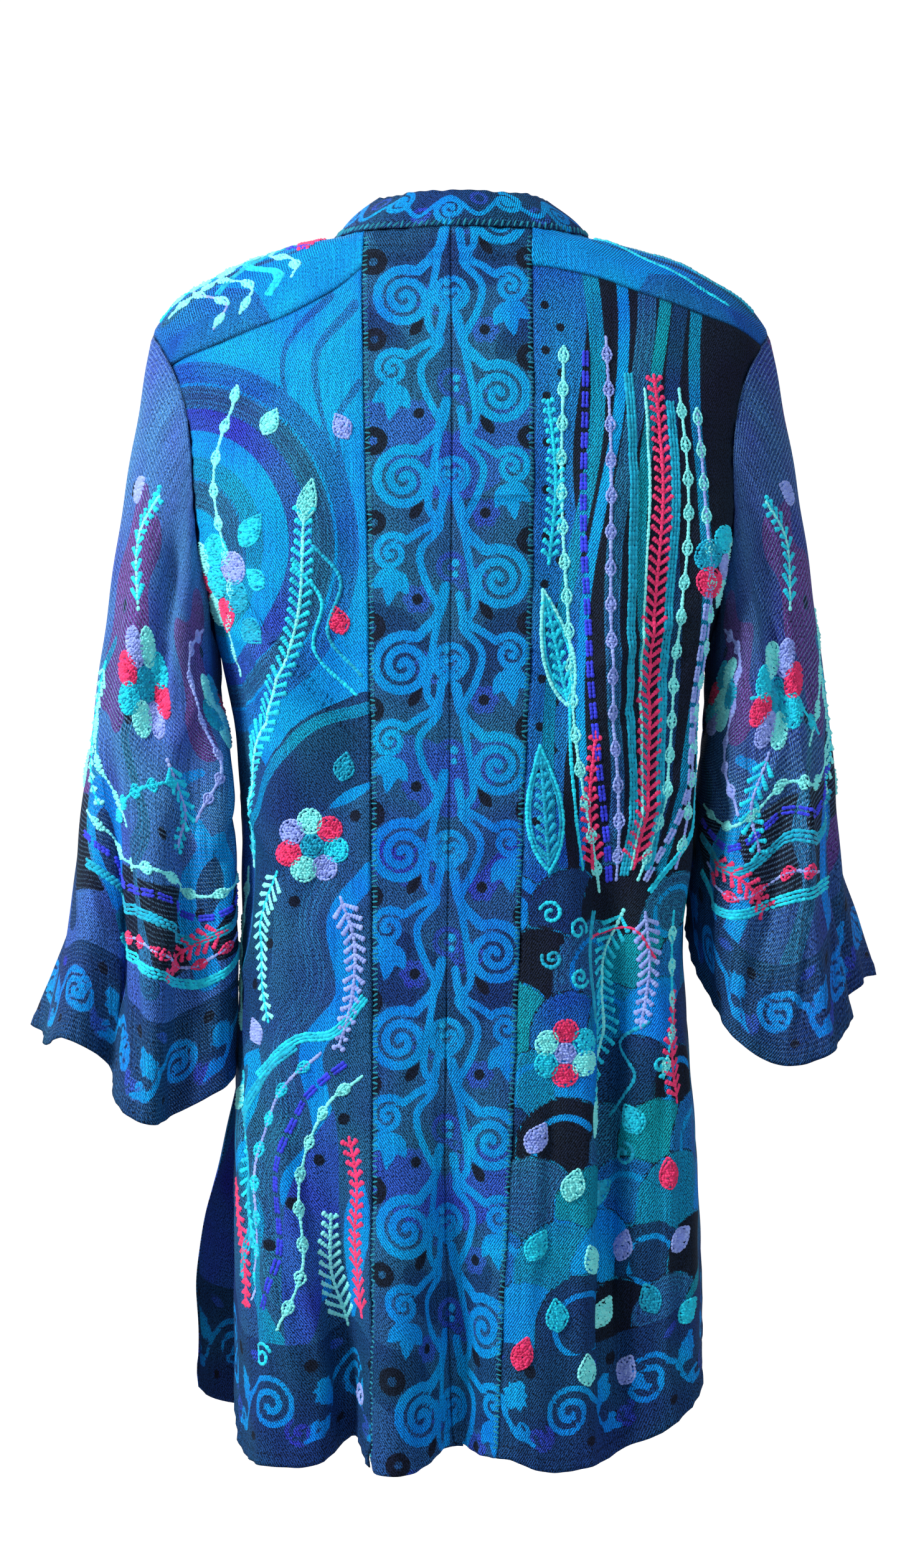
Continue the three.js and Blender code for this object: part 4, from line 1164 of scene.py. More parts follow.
# %% figures of every piece
def collar_figures(flat):
    """A running scroll of curls on a waving stem."""
    figures = Figures(flat)
    stem = [(22 * k - 10, 18 + 9 * (-1) ** k) for k in range(31)]
    azure = [stroke(flat, spline(stem), 3.6)]
    for k in range(14):
        centre = (14 + 44 * k, 13 if k % 2 else 22)
        azure.append(stroke(flat, spiral(centre, 12, 1.8, 90 + 180 * (k % 2), 1, 0.1), 4.4, 3.6))
    figures.lay("indigo", *[ring(flat, (36 + 44 * k, 26 if k % 2 else 10), 6, 3.4) for k in range(14)])
    figures.lay("black", *[disc(flat, (58 + 88 * k, 8), 6) for k in range(7)])
    figures.lay("azure", *azure)
    return figures


def weave(name, figures, ground):
    cloths[name]["figures"] = figures
    cloths[name]["ground"] = ground


for side, first in (("left", 22), ("right", -40)):
    figures = Figures(cloths[f"border_strip_{side}"]["flat"])
    strip_scroll(figures, first, 890, 52)
    weave(f"border_strip_{side}", figures, "slate")
weave("back_left", azure_panel(cloths["back_left"], 120), "slate")
weave("back_right", striped_panel(cloths["back_right"]), "black")
weave("front_cloth_left", azure_panel(cloths["front_cloth_left"], 60), "indigo")
weave("front_cloth_right", striped_panel(cloths["front_cloth_right"]), "navy")
# the right sleeve's ground is darker than the left's, partly its own darker yarn and partly painted shade
# for the side away from the key lamp
for side, ground in (("left", "steel"), ("right", "dusk")):
    yoke_flames(cloths[f"front_cloth_{side}"]["figures"])
    weave(f"sleeve_cloth_{side}", sleeve_figures(cloths[f"sleeve_cloth_{side}"], side), ground)
weave("collar", collar_figures(cloths["collar"]["flat"]), "navy")
for name in BACKINGS:
    weave(name, Figures(cloths[name]["flat"]), "navy")
for name, one in cloths.items():
    mesh = one["object"].data
    for colour, field in one["figures"].fields.items():
        data = mesh.attributes.new(f"in_{colour}", "FLOAT", "POINT").data
        data.foreach_set("value", np.clip(field, -20, 20).ravel())
    print(name, "colours", list(one["figures"].fields))


# %% [markdown]
# ## The cloth's material
# The yarn looks like dyed wool and viscose, in a twill about a millimetre from rib to rib. Light
# figure threads and dark warp threads both show, so every colour is speckled. It is matt with a soft
# sheen.

# %% colours and nodes
def linear(code):
    """A colour written as sRGB hex, as Blender's linear colour."""
    parts = [int(code[i:i + 2], 16) / 255 for i in (1, 3, 5)]
    return tuple(p / 12.92 if p <= 0.04045 else ((p + 0.055) / 1.055) ** 2.4 for p in parts) + (1,)


def add(tree, kind, inputs=None, **settings):
    """Adds a node: settings are its own options, inputs are values or the sockets that feed it."""
    one = tree.nodes.new(kind)
    for key, value in settings.items():
        setattr(one, key, value)
    for key, value in (inputs or {}).items():
        if isinstance(value, bpy.types.NodeSocket):
            tree.links.new(value, one.inputs[key])
        else:
            one.inputs[key].default_value = value
    return one


print("azure as linear light:", [round(part, 3) for part in linear(YARNS["azure"])[:3]])


# %% figures and ribs in the weave
RIB = 1.6  # millimetres from rib to rib of the twill, a little coarser than real so that it shows
RIB_SLANT = 0.62
RIB_STRETCH = 1.18
RIB_ANGLE = -31.8
SLEEVE_RIB = 3.1
HATCHED = {"slate": (3.4, "#2478a8"), "petrol": (3.0, "#0a98c4"), "deep": (4.2, "#1a6fb8")}


def figured(tree, ground, colours, ragged):
    """Lays each colour where its field is above zero. Some colours are hatched with a lighter thread."""
    current = linear(YARNS[ground])
    for colour in colours:
        field = add(tree, "ShaderNodeAttribute", attribute_name=f"in_{colour}").outputs["Fac"]
        rough_edge = add(tree, "ShaderNodeMath", {0: field, 1: ragged}, operation="ADD")
        inside = add(tree, "ShaderNodeMapRange", {0: rough_edge.outputs[0], 1: -0.3, 2: 0.3, 3: 0.0,
                                                  4: 1.0})
        tint = linear(YARNS[colour])
        if colour in HATCHED:
            step, light = HATCHED[colour]
            turn = add(tree, "ShaderNodeMath", {0: field, 1: 2 * math.pi / step}, operation="MULTIPLY")
            wave = add(tree, "ShaderNodeMath", {0: turn.outputs[0]}, operation="SINE")
            lines = add(tree, "ShaderNodeMapRange",
                        {0: wave.outputs[0], 1: -0.2, 2: 0.9, 3: 0.0, 4: 0.45})
            hatch = add(tree, "ShaderNodeMix", {0: lines.outputs[0], 6: tint, 7: linear(light)},
                        data_type="RGBA")
            tint = hatch.outputs[2]
        laid = add(tree, "ShaderNodeMix", {0: inside.outputs[0], 6: current, 7: tint}, data_type="RGBA")
        current = laid.outputs[2]
    if not colours:
        current = add(tree, "ShaderNodeMix", {0: 0.0, 6: current, 7: current},
                      data_type="RGBA").outputs[2]
    return current


def sleeve_ribs(tree, down, current, ribbed):
    """Light ribs across the sleeve, which grow faint below the upper arm."""
    turn = add(tree, "ShaderNodeMath", {0: down, 1: 2 * math.pi / SLEEVE_RIB}, operation="MULTIPLY")
    wave = add(tree, "ShaderNodeMath", {0: turn.outputs[0]}, operation="SINE")
    strength = add(tree, "ShaderNodeMapRange",
                   {0: down, 1: 170.0, 2: 300.0, 3: ribbed * 3.4, 4: ribbed * 0.7})
    lines = add(tree, "ShaderNodeMapRange",
                {0: wave.outputs[0], 1: 0.0, 2: 1.0, 3: 0.0, 4: strength.outputs[0]})
    return add(tree, "ShaderNodeMix", {0: lines.outputs[0], 6: current, 7: linear("#78aee0")},
               data_type="RGBA").outputs[2]


# %% light and dark threads
def thread_brightness(tree, place, rib, current, ribbed):
    """How bright each thread is: streaks of uneven dye, specks of warp and weft, and painted shade along
    seams, the hem stitch and narrow creases.
    """
    stretch = add(tree, "ShaderNodeVectorMath", {0: place, 1: (1.5, 0.02, 1)}, operation="MULTIPLY")
    streak = add(tree, "ShaderNodeTexNoise", {"Vector": stretch.outputs[0], "Scale": 1.0, "Detail": 3.0},
                 noise_dimensions="2D")
    bright = add(tree, "ShaderNodeMapRange",
                 {0: streak.outputs["Fac"], 1: 0.3, 2: 0.7, 3: 0.76 - 2 * ribbed, 4: 1.3 + 2.4 * ribbed})
    along_rib = add(tree, "ShaderNodeVectorRotate", {"Vector": place, "Angle": math.radians(RIB_ANGLE)},
                    rotation_type="Z_AXIS")
    dash = add(tree, "ShaderNodeVectorMath", {0: along_rib.outputs[0], 1: (1.1, 0.7, 1)},
               operation="MULTIPLY")
    speck = add(tree, "ShaderNodeTexNoise", {"Vector": dash.outputs[0], "Scale": 1.0, "Detail": 1.0},
                noise_dimensions="2D")
    # warp and weft differ most in the dark parts
    light = add(tree, "ShaderNodeRGBToBW", {0: current}).outputs[0]
    low = add(tree, "ShaderNodeMapRange", {0: light, 1: 0.02, 2: 0.28, 3: 0.22, 4: 0.56})
    high = add(tree, "ShaderNodeMapRange", {0: light, 1: 0.02, 2: 0.28, 3: 2.5, 4: 1.42})
    over = add(tree, "ShaderNodeMath", {0: speck.outputs["Fac"], 1: 11.0, 2: rib},
               operation="MULTIPLY_ADD")
    specks = add(tree, "ShaderNodeMapRange",
                 {0: over.outputs[0], 1: 4.0, 2: 6.6, 3: low.outputs[0], 4: high.outputs[0]})
    # painted shade: the cloth is darkened to 0.42 of its brightness along seams, the hem stitch and narrow
    # creases
    seam = add(tree, "ShaderNodeAttribute", attribute_name="shaded_line_gap").outputs["Fac"]
    painted_seam_shade = add(tree, "ShaderNodeMapRange", {0: seam, 1: 0.2, 2: 2.2, 3: 0.42, 4: 1.0})
    even = add(tree, "ShaderNodeMath", {0: bright.outputs[0], 1: specks.outputs[0]}, operation="MULTIPLY")
    return add(tree, "ShaderNodeMath", {0: even.outputs[0], 1: painted_seam_shade.outputs[0]},
               operation="MULTIPLY").outputs[0]


# %% woven cloth
def woven_cloth(name, ground, colours, ribbed=0.0):
    """Figured twill, whose figures have an edge that wanders about half a millimetre."""
    material = bpy.data.materials.new(name)
    material.use_nodes = True
    tree = material.node_tree
    shader = tree.nodes["Principled BSDF"]
    place = add(tree, "ShaderNodeAttribute", attribute_name="flat").outputs["Vector"]
    axes = add(tree, "ShaderNodeSeparateXYZ", {0: place})
    across, down = axes.outputs["X"], axes.outputs["Y"]
    slope = add(tree, "ShaderNodeMath", {0: down, 1: RIB_SLANT, 2: across}, operation="MULTIPLY_ADD")
    phase = add(tree, "ShaderNodeMath", {0: slope.outputs[0], 1: 2 * math.pi / RIB / RIB_STRETCH},
                operation="MULTIPLY")
    rib = add(tree, "ShaderNodeMath", {0: phase.outputs[0]}, operation="SINE").outputs[0]
    threads = add(tree, "ShaderNodeTexNoise", {"Vector": place, "Scale": 1.1, "Detail": 2.0},
                  noise_dimensions="2D").outputs["Fac"]
    ragged = add(tree, "ShaderNodeMapRange", {0: threads, 1: 0.3, 2: 0.7, 3: -0.45, 4: 0.45}).outputs[0]
    current = figured(tree, ground, colours, ragged)
    if ribbed:
        current = sleeve_ribs(tree, down, current, ribbed)
    # dark warp shows between the ribs
    between = add(tree, "ShaderNodeMapRange", {0: rib, 1: -1.0, 2: 0.6, 3: 0.45, 4: 0.0})
    warp = add(tree, "ShaderNodeMix", {0: between.outputs[0], 6: current, 7: linear("#0b1730")},
               data_type="RGBA")
    value = thread_brightness(tree, place, rib, current, ribbed)
    cloud = add(tree, "ShaderNodeTexNoise", {"Vector": place, "Scale": 0.013, "Detail": 2.0},
                noise_dimensions="2D")
    hue = add(tree, "ShaderNodeMapRange", {0: cloud.outputs["Fac"], 1: 0.3, 2: 0.7, 3: 0.485, 4: 0.52})
    dyed = add(tree, "ShaderNodeHueSaturation", {"Hue": hue.outputs[0], "Value": value,
                                                 "Color": warp.outputs[2]})
    tree.links.new(dyed.outputs[0], shader.inputs["Base Color"])
    grain = add(tree, "ShaderNodeMath", {0: threads, 1: 1.6, 2: rib}, operation="MULTIPLY_ADD")
    bump = add(tree, "ShaderNodeBump", {"Strength": 0.55, "Distance": 0.00028,
                                        "Height": grain.outputs[0]})
    tree.links.new(bump.outputs[0], shader.inputs["Normal"])
    shader.inputs["Roughness"].default_value = 0.68
    shader.inputs["Specular IOR Level"].default_value = 0.1
    shader.inputs["Sheen Weight"].default_value = 0.04
    shader.inputs["Sheen Roughness"].default_value = 0.4
    shader.inputs["Sheen Tint"].default_value = linear("#59b4f0")
    return material


for name, one in cloths.items():
    face = woven_cloth(f"figured wool and viscose twill, {name}", one["ground"],
                       list(one["figures"].fields),
                       ribbed=0.1 if "sleeve" in name else 0.0)
    one["object"].data.materials.append(face)
print("materials:", len(bpy.data.materials))

# %% [markdown]
# ## Embroidery
# Thick yarn is worked on the cloth in rows of small loops: thin chains, plump beads and dashes along
# them, ferns, leaves and round flowers. The layout is drawn for this model on the flat cloth. One loop
# is shaped once, and copied to each place of the worn cloth in the right turn and size.

# %% yarns and single rows
chance = np.random.default_rng(11)
# thick wool yarn in pale and bright blue-greens, with raspberry, periwinkle and a strong blue
THREADS = {
    "mint": "#80f6fa",
    "aqua": "#12cae8",
    "teal": "#06a4c8",
    "raspberry": "#e63672",
    "periwinkle": "#8ea4f0",
    "royal": "#2f3cdc",
    "peacock": "#0b7f98",
}
THREAD_NAMES = list(THREADS)


def rows_of(places, turns, length, width, height, colour):
    """One line of numbers for each loop: place, turn, length, width, height and colour."""
    count = len(places)
    data = np.empty((count, 7))
    data[:, :2] = places
    data[:, 2] = turns + chance.normal(0, 0.16, count)
    data[:, 3] = length * chance.uniform(0.9, 1.1, count)
    data[:, 4] = width * chance.uniform(0.8, 1.2, count)
    data[:, 5] = height * chance.uniform(0.75, 1.2, count)
    data[:, 6] = THREAD_NAMES.index(colour)
    return data


def walk(points, pitch, start=0.0):
    """Places at an even pitch along a line, with the direction there."""
    points = np.asarray(points, float)
    steps = np.linalg.norm(np.diff(points, axis=0), axis=1)
    run = np.concatenate([[0], np.cumsum(steps)])
    at = np.arange(start + pitch / 2, run[-1], pitch)
    places = np.stack([np.interp(at, run, points[:, 0]), np.interp(at, run, points[:, 1])], 1)
    ahead = np.stack([np.interp(at + 0.5, run, points[:, 0]), np.interp(at + 0.5, run, points[:, 1])], 1)
    behind = np.stack([np.interp(at - 0.5, run, points[:, 0]), np.interp(at - 0.5, run, points[:, 1])], 1)
    way = ahead - behind
    return places, np.arctan2(way[:, 1], way[:, 0])


def chain(points, colour, width=3.0, pitch=3.2, height=1.5):
    places, turns = walk(points, pitch)
    return rows_of(places, turns, pitch * 1.3, width, height, colour)


def filled(outline, colour, gap=2.15, height=1.9):
    """Loops that fill a shape: a row along its edge, and the inside packed close."""
    outline = np.asarray(outline, float)
    low, high = outline.min(0), outline.max(0)
    xs = np.arange(low[0], high[0], gap)
    ys = np.arange(low[1], high[1], gap * 0.87)
    gx, gy = np.meshgrid(xs, ys)
    gx = gx + gap / 2 * (np.arange(len(ys)) % 2)[:, None]
    places = np.stack([gx.ravel(), gy.ravel()], 1)
    places = places[patch(places, outline) > 0.6 * gap]
    places = places + chance.normal(0, 0.3, places.shape)
    turns = chance.uniform(0, math.pi, len(places))
    edge, edge_turns = walk(np.vstack([outline, outline[:1]]), 2.7)
    inside = rows_of(places, turns, 3.3, 2.7, height, colour)
    inside[:, 5] *= chance.uniform(0.75, 1.3, len(inside))
    return np.vstack([inside, rows_of(edge, edge_turns, 3.0, 2.2, height * 0.85, colour)])


def beads(points, colour, bead_colour=None, spacing=24, size=(12.5, 5.8), start=6):
    """A thin chain with a plump oval worked on it at each step."""
    parts = [chain(points, colour, 2.7, 3.0, 1.3)]
    for place, turn in zip(*walk(points, spacing, start)):
        along = np.array([math.cos(turn), math.sin(turn)]) * size[0] / 2
        parts.append(filled(leaf(place - along, place + along, size[1] * 1.2, 7), bead_colour or colour,
                            2.1, 1.9))
    return np.vstack(parts)


def dashes(points, colour, length=11, space=4, width=5.4):
    """Short plump dashes, two chains side by side."""
    parts = []
    for place, turn in zip(*walk(points, length + space)):
        along = np.array([math.cos(turn), math.sin(turn)])
        side = np.array([-along[1], along[0]]) * width / 4
        for push in (-1, 1):
            ends = [place - along * length / 2 + side * push, place + along * length / 2 + side * push]
            parts.append(chain(ends, colour, 2.9, 2.8, 1.6))
    return np.vstack(parts)


def band(points, colour, width=8):
    """A dense band of rows side by side."""
    points = np.asarray(points, float)
    way = np.gradient(points, axis=0)
    side = np.stack([-way[:, 1], way[:, 0]], 1) / np.linalg.norm(way, axis=1, keepdims=True)
    count = max(2, round(width / 2.4))
    return np.vstack([chain(points + side * push, colour, 2.8, 3.4, 1.3)
                      for push in (np.arange(count) - (count - 1) / 2) * 2.35])


def fern(points, stem, leaflets, reach=12, pitch=7.4, lean=52, taper=0.55, sides=(-1, 1)):
    """A chain with drumstick leaflets on both sides."""
    parts = [chain(points, stem, 3.0, 3.0, 1.4)]
    places, turns = walk(points, pitch, 2)
    for k, (place, turn) in enumerate(zip(places, turns)):
        size = reach * mix(1, taper, k / max(len(places) - 1, 1)) * chance.uniform(0.88, 1.1)
        for side in sides:
            out = turn + side * math.radians(lean)
            away = np.array([math.cos(out), math.sin(out)])
            at = np.array([place + away * s for s in np.arange(1.8, size, 2.3)])
            if len(at):
                leaflet = rows_of(at, out, 3.1, 2.0, 1.1, leaflets)
                leaflet[:, 4] = np.linspace(2.8, 4.6, len(at))
                leaflet[:, 5] = np.linspace(1.1, 1.75, len(at))
                parts.append(leaflet)
    return np.vstack(parts)


def veined_leaf(base, tip, breadth, edge, veins):
    """A leaf in outline, with a midrib and slanting veins."""
    base, tip = np.array(base, float), np.array(tip, float)
    outline = leaf(base, tip, breadth)
    parts = [chain(np.vstack([outline, outline[:1]]), edge, 3.1, 3.1, 1.5)]
    inner = leaf(mix(base, tip, 0.06), mix(base, tip, 0.94), breadth - 4.5)
    parts.append(chain(np.vstack([inner, inner[:1]]), veins, 2.2, 3.0, 1.1))
    parts.append(fern([mix(base, tip, 0.05), mix(base, tip, 0.9)], veins, veins, breadth * 0.42, 8, 42,
                      0.5))
    return np.vstack(parts)


def flower(centre, radius, petals, colours, heart_colour, turn=0.0):
    """A round flower: plump filled petals about a small middle."""
    parts = []
    centre = np.array(centre, float)
    for k in range(petals):
        out = turn + 2 * math.pi * k / petals
        away = np.array([math.cos(out), math.sin(out)])
        across = np.array([-away[1], away[0]])
        t = np.linspace(0, 2 * math.pi, 14, endpoint=False)
        half = radius * math.sin(math.pi / petals) * 0.93
        outline = (centre + away * radius * 0.66 + np.outer(np.cos(t), away) * radius * 0.33
                   + np.outer(np.sin(t), across) * half * 0.8)
        parts.append(filled(outline, colours[k % len(colours)]))
    t = np.linspace(0, 2 * math.pi, 12, endpoint=False)
    parts.append(filled(centre + radius * 0.3 * np.stack([np.cos(t), np.sin(t)], 1), heart_colour))
    return np.vstack(parts)


def curl(centre, radius, turns, start, colour, way=1, width=3.2):
    return chain(spiral(centre, radius, turns, start, way), colour, width, 2.9, 1.4)


def dropped_leaves(places, colours, size=(20, 14)):
    """Small filled leaves strewn on the cloth."""
    parts = []
    for k, (u, v) in enumerate(places):
        turn = math.radians((-62, -118, -75, -40, -100)[k % 5])
        along = np.array([math.cos(turn), math.sin(turn)]) * size[0] / 2
        parts.append(filled(leaf((u, v) - along, (u, v) + along, size[1], 8), colours[k % len(colours)]))
    return np.vstack(parts)


print("yarns:", THREAD_NAMES)

# %% [markdown]
# ### Sewing
# A stitch follows the cloth it is worked on. So each loop is carried from the flat cloth to the worn
# one, turned along its row and stood on the surface. Loops that would fall off an edge are left out.


# %% loops on the worn cloth
def loop_shape():
    """A plump loop one long, one wide and one high, lying along x."""
    bm = bmesh.new()
    bmesh.ops.create_grid(bm, x_segments=4, y_segments=2, size=0.5)
    for vert in bm.verts:
        x, y = 2 * vert.co.x, 2 * vert.co.y
        swell = math.sqrt(max(0, 1 - 0.93 * x * x))
        vert.co.y = 0.5 * y * (0.25 + 0.75 * swell)
        vert.co.z = (0.25 + 0.75 * swell) * (1 if y == 0 else -0.12)
    bm.verts.index_update()
    shape = np.array([v.co for v in bm.verts])
    faces = np.array([[v.index for v in f.verts] for f in bm.faces])
    bm.free()
    return shape, faces


LOOP, LOOP_FACES = loop_shape()


def worn_places(cloth, places):
    """Carries places on the flat cloth to the worn cloth, with the cloth's normal there."""
    flat, points, normal = cloth["flat"], cloth["points"], cloth["normal"]
    rows, columns = flat.shape[:2]
    index = np.arange(rows * columns).reshape(rows, columns)
    quads = np.stack([index[:-1, :-1], index[:-1, 1:], index[1:, 1:], index[1:, :-1]], -1).reshape(-1, 4)
    spread = np.concatenate([flat.reshape(-1, 2), np.zeros((rows * columns, 1))], 1)
    corners = [Vector(c) for c in spread]
    tree = BVHTree.FromPolygons(corners, quads.tolist())
    at = np.zeros((len(places), 3))
    out = np.zeros((len(places), 3))
    found = np.zeros(len(places), bool)
    points, normal = points.reshape(-1, 3), normal.reshape(-1, 3)
    for k, place in enumerate(places):
        hit, _, face, gap = tree.find_nearest(Vector((place[0], place[1], 0)), 3.0)
        if hit is None or gap > 0.5:
            continue
        quad = quads[face]
        weights = np.array(poly_3d_calc([corners[i] for i in quad], hit))
        at[k] = weights @ points[quad]
        out[k] = weights @ normal[quad]
        found[k] = True
    return at, out, found


print("a loop has", len(LOOP), "points and", len(LOOP_FACES), "faces")


# %% all loops of a piece
def sew(name, loops):
    """Makes one object of all the loops on a piece of cloth."""
    cloth = cloths[name]
    loops = np.vstack(loops)
    way = np.stack([np.cos(loops[:, 2]), np.sin(loops[:, 2])], 1)
    middle, out, found = worn_places(cloth, loops[:, :2])
    ahead, _, found_ahead = worn_places(cloth, loops[:, :2] + 0.8 * way)
    good = found & found_ahead
    loops, middle, out, ahead = loops[good], middle[good], out[good], ahead[good]
    along = ahead - middle
    along /= np.linalg.norm(along, axis=1, keepdims=True)
    out /= np.linalg.norm(out, axis=1, keepdims=True)
    side = np.cross(out, along)
    side /= np.linalg.norm(side, axis=1, keepdims=True)
    out = np.cross(along, side)
    co = (middle[:, None]
          + LOOP[None, :, 0:1] * (along * loops[:, 3:4])[:, None]
          + LOOP[None, :, 1:2] * (side * loops[:, 4:5])[:, None]
          + LOOP[None, :, 2:3] * (out * loops[:, 5:6])[:, None])
    faces = (LOOP_FACES[None] + len(LOOP) * np.arange(len(loops))[:, None, None]).reshape(-1, 4)
    mesh = bpy.data.meshes.new(f"embroidery_{name}")
    mesh.vertices.add(co.shape[0] * co.shape[1])
    mesh.vertices.foreach_set("co", (co * MM).ravel())
    mesh.loops.add(faces.size)
    mesh.loops.foreach_set("vertex_index", faces.ravel().astype(np.int32))
    mesh.polygons.add(len(faces))
    mesh.polygons.foreach_set("loop_start", np.arange(0, faces.size, 4, dtype=np.int32))
    mesh.update(calc_edges=True)
    mesh.shade_smooth()
    dye = np.array([linear(THREADS[t]) for t in THREAD_NAMES])[loops[:, 6].astype(int)]
    dye[:, :3] = np.minimum(dye[:, :3] * chance.uniform(0.85, 1.3, (len(loops), 1)), 0.95)
    shade = mesh.attributes.new("dye", "FLOAT_COLOR", "POINT")
    shade.data.foreach_set("color", np.repeat(dye, len(LOOP), 0).ravel())
    piece = bpy.data.objects.new(f"embroidery_{name}", mesh)
    bpy.context.collection.objects.link(piece)
    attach(piece, "root")
    mesh.materials.append(yarn)
    print(name, "loops", len(loops), "triangles", 2 * len(faces))


# %% [markdown]
# ### Yarn
# Thick twisted wool: matt, softly fuzzy, and a little uneven in its dye. The colour sits on each loop,
# so one material serves all threads. A hair system would show the fuzz itself, but not from two metres.

# %% yarn material
# soft twisted wool yarn: matt, with a fine fuzz that lights up at its edges
yarn = bpy.data.materials.new("twisted wool embroidery yarn")
yarn.use_nodes = True
tree = yarn.node_tree
shader = tree.nodes["Principled BSDF"]
dye = add(tree, "ShaderNodeAttribute", attribute_name="dye").outputs["Color"]
coords = add(tree, "ShaderNodeTexCoord").outputs["Object"]
fuzz = add(tree, "ShaderNodeTexNoise", {"Vector": coords, "Scale": 1400.0, "Detail": 2.0})
shading = add(tree, "ShaderNodeMapRange", {0: fuzz.outputs["Fac"], 1: 0.3, 2: 0.7, 3: 0.9, 4: 1.16})
tone = add(tree, "ShaderNodeHueSaturation", {"Value": shading.outputs[0], "Color": dye})
tree.links.new(tone.outputs[0], shader.inputs["Base Color"])
bump = add(tree, "ShaderNodeBump", {"Strength": 0.35, "Distance": 0.0003, "Height": fuzz.outputs["Fac"]})
tree.links.new(bump.outputs[0], shader.inputs["Normal"])
shader.inputs["Roughness"].default_value = 0.75
shader.inputs["Specular IOR Level"].default_value = 0.25
shader.inputs["Sheen Weight"].default_value = 0.2
shader.inputs["Sheen Roughness"].default_value = 0.5
print("yarn:", yarn.name)

# %% [markdown]
# ### The back
# The left panel carries sweeping rows below and few motifs above. The right one is covered with long
# rows side by side. Places are on the flat cloth: across from the strip's seam, and down from the
# level of the collar seam.

# %% embroidery of the back
left = [
    fern(spline([(122, 470), (112, 405), (76, 352), (52, 290), (46, 215)]), "mint", "aqua", 15),
    filled(leaf((47, 219), (40, 188), 13), "mint"),
    beads(spline([(128, 330), (112, 262), (120, 190), (104, 122)]), "mint", spacing=24),
    flower((44, 452), 27, 7, ["raspberry", "mint", "periwinkle", "aqua"], "teal", 0.3),
    fern(spline([(70, 470), (88, 500), (92, 540), (84, 580)]), "aqua", "mint", 12),
    fern(spline([(24, 488), (14, 520), (16, 560), (26, 596)]), "periwinkle", "periwinkle", 11),
    beads(spline([(8, 616), (38, 640), (62, 690), (70, 752), (98, 800)]), "mint", spacing=25),
    dashes(spline([(20, 606), (54, 634), (78, 684), (86, 744), (112, 792)]), "royal"),
    beads(spline([(40, 600), (72, 628), (96, 678), (103, 734), (132, 784)]), "periwinkle", "aqua",
          spacing=25),
    band(spline([(60, 596), (92, 622), (114, 668), (120, 724), (146, 770)]), "teal", 7),
    fern(spline([(14, 790), (20, 744), (14, 700), (20, 660)]), "raspberry", "raspberry", 12),
    fern(spline([(40, 800), (48, 760), (42, 716)]), "mint", "mint", 14),
    chain(spline([(6, 330), (30, 300), (20, 262), (40, 236)]), "teal", 3),
    chain(spline([(10, 344), (40, 312), (34, 276), (54, 250)]), "aqua", 3),
    band(spline([(6, 560), (30, 586), (60, 592), (96, 620)]), "aqua", 7),
    fern(spline([(132, 620), (118, 660), (124, 700), (112, 742)]), "aqua", "aqua", 13),
    fern(spline([(150, 700), (136, 740), (140, 790)]), "raspberry", "raspberry", 11),
    beads(spline([(138, 470), (148, 530), (136, 590)]), "mint"),
    flower((128, 262), 36, 7, ["mint", "raspberry", "teal", "periwinkle", "aqua"], "aqua", 0.9),
    filled(leaf((96, 236), (78, 214), 17), "aqua"), filled(leaf((100, 290), (82, 306), 17), "teal"),
    curl((116, 820), 10, 1.5, 200, "aqua"), curl((22, 848), 10, 1.5, 20, "periwinkle", -1),
    dropped_leaves([(18, 150), (74, 146), (22, 290), (84, 260), (20, 395), (100, 588), (136, 640)],
                   ["periwinkle", "mint", "raspberry", "aqua", "teal"]),
]
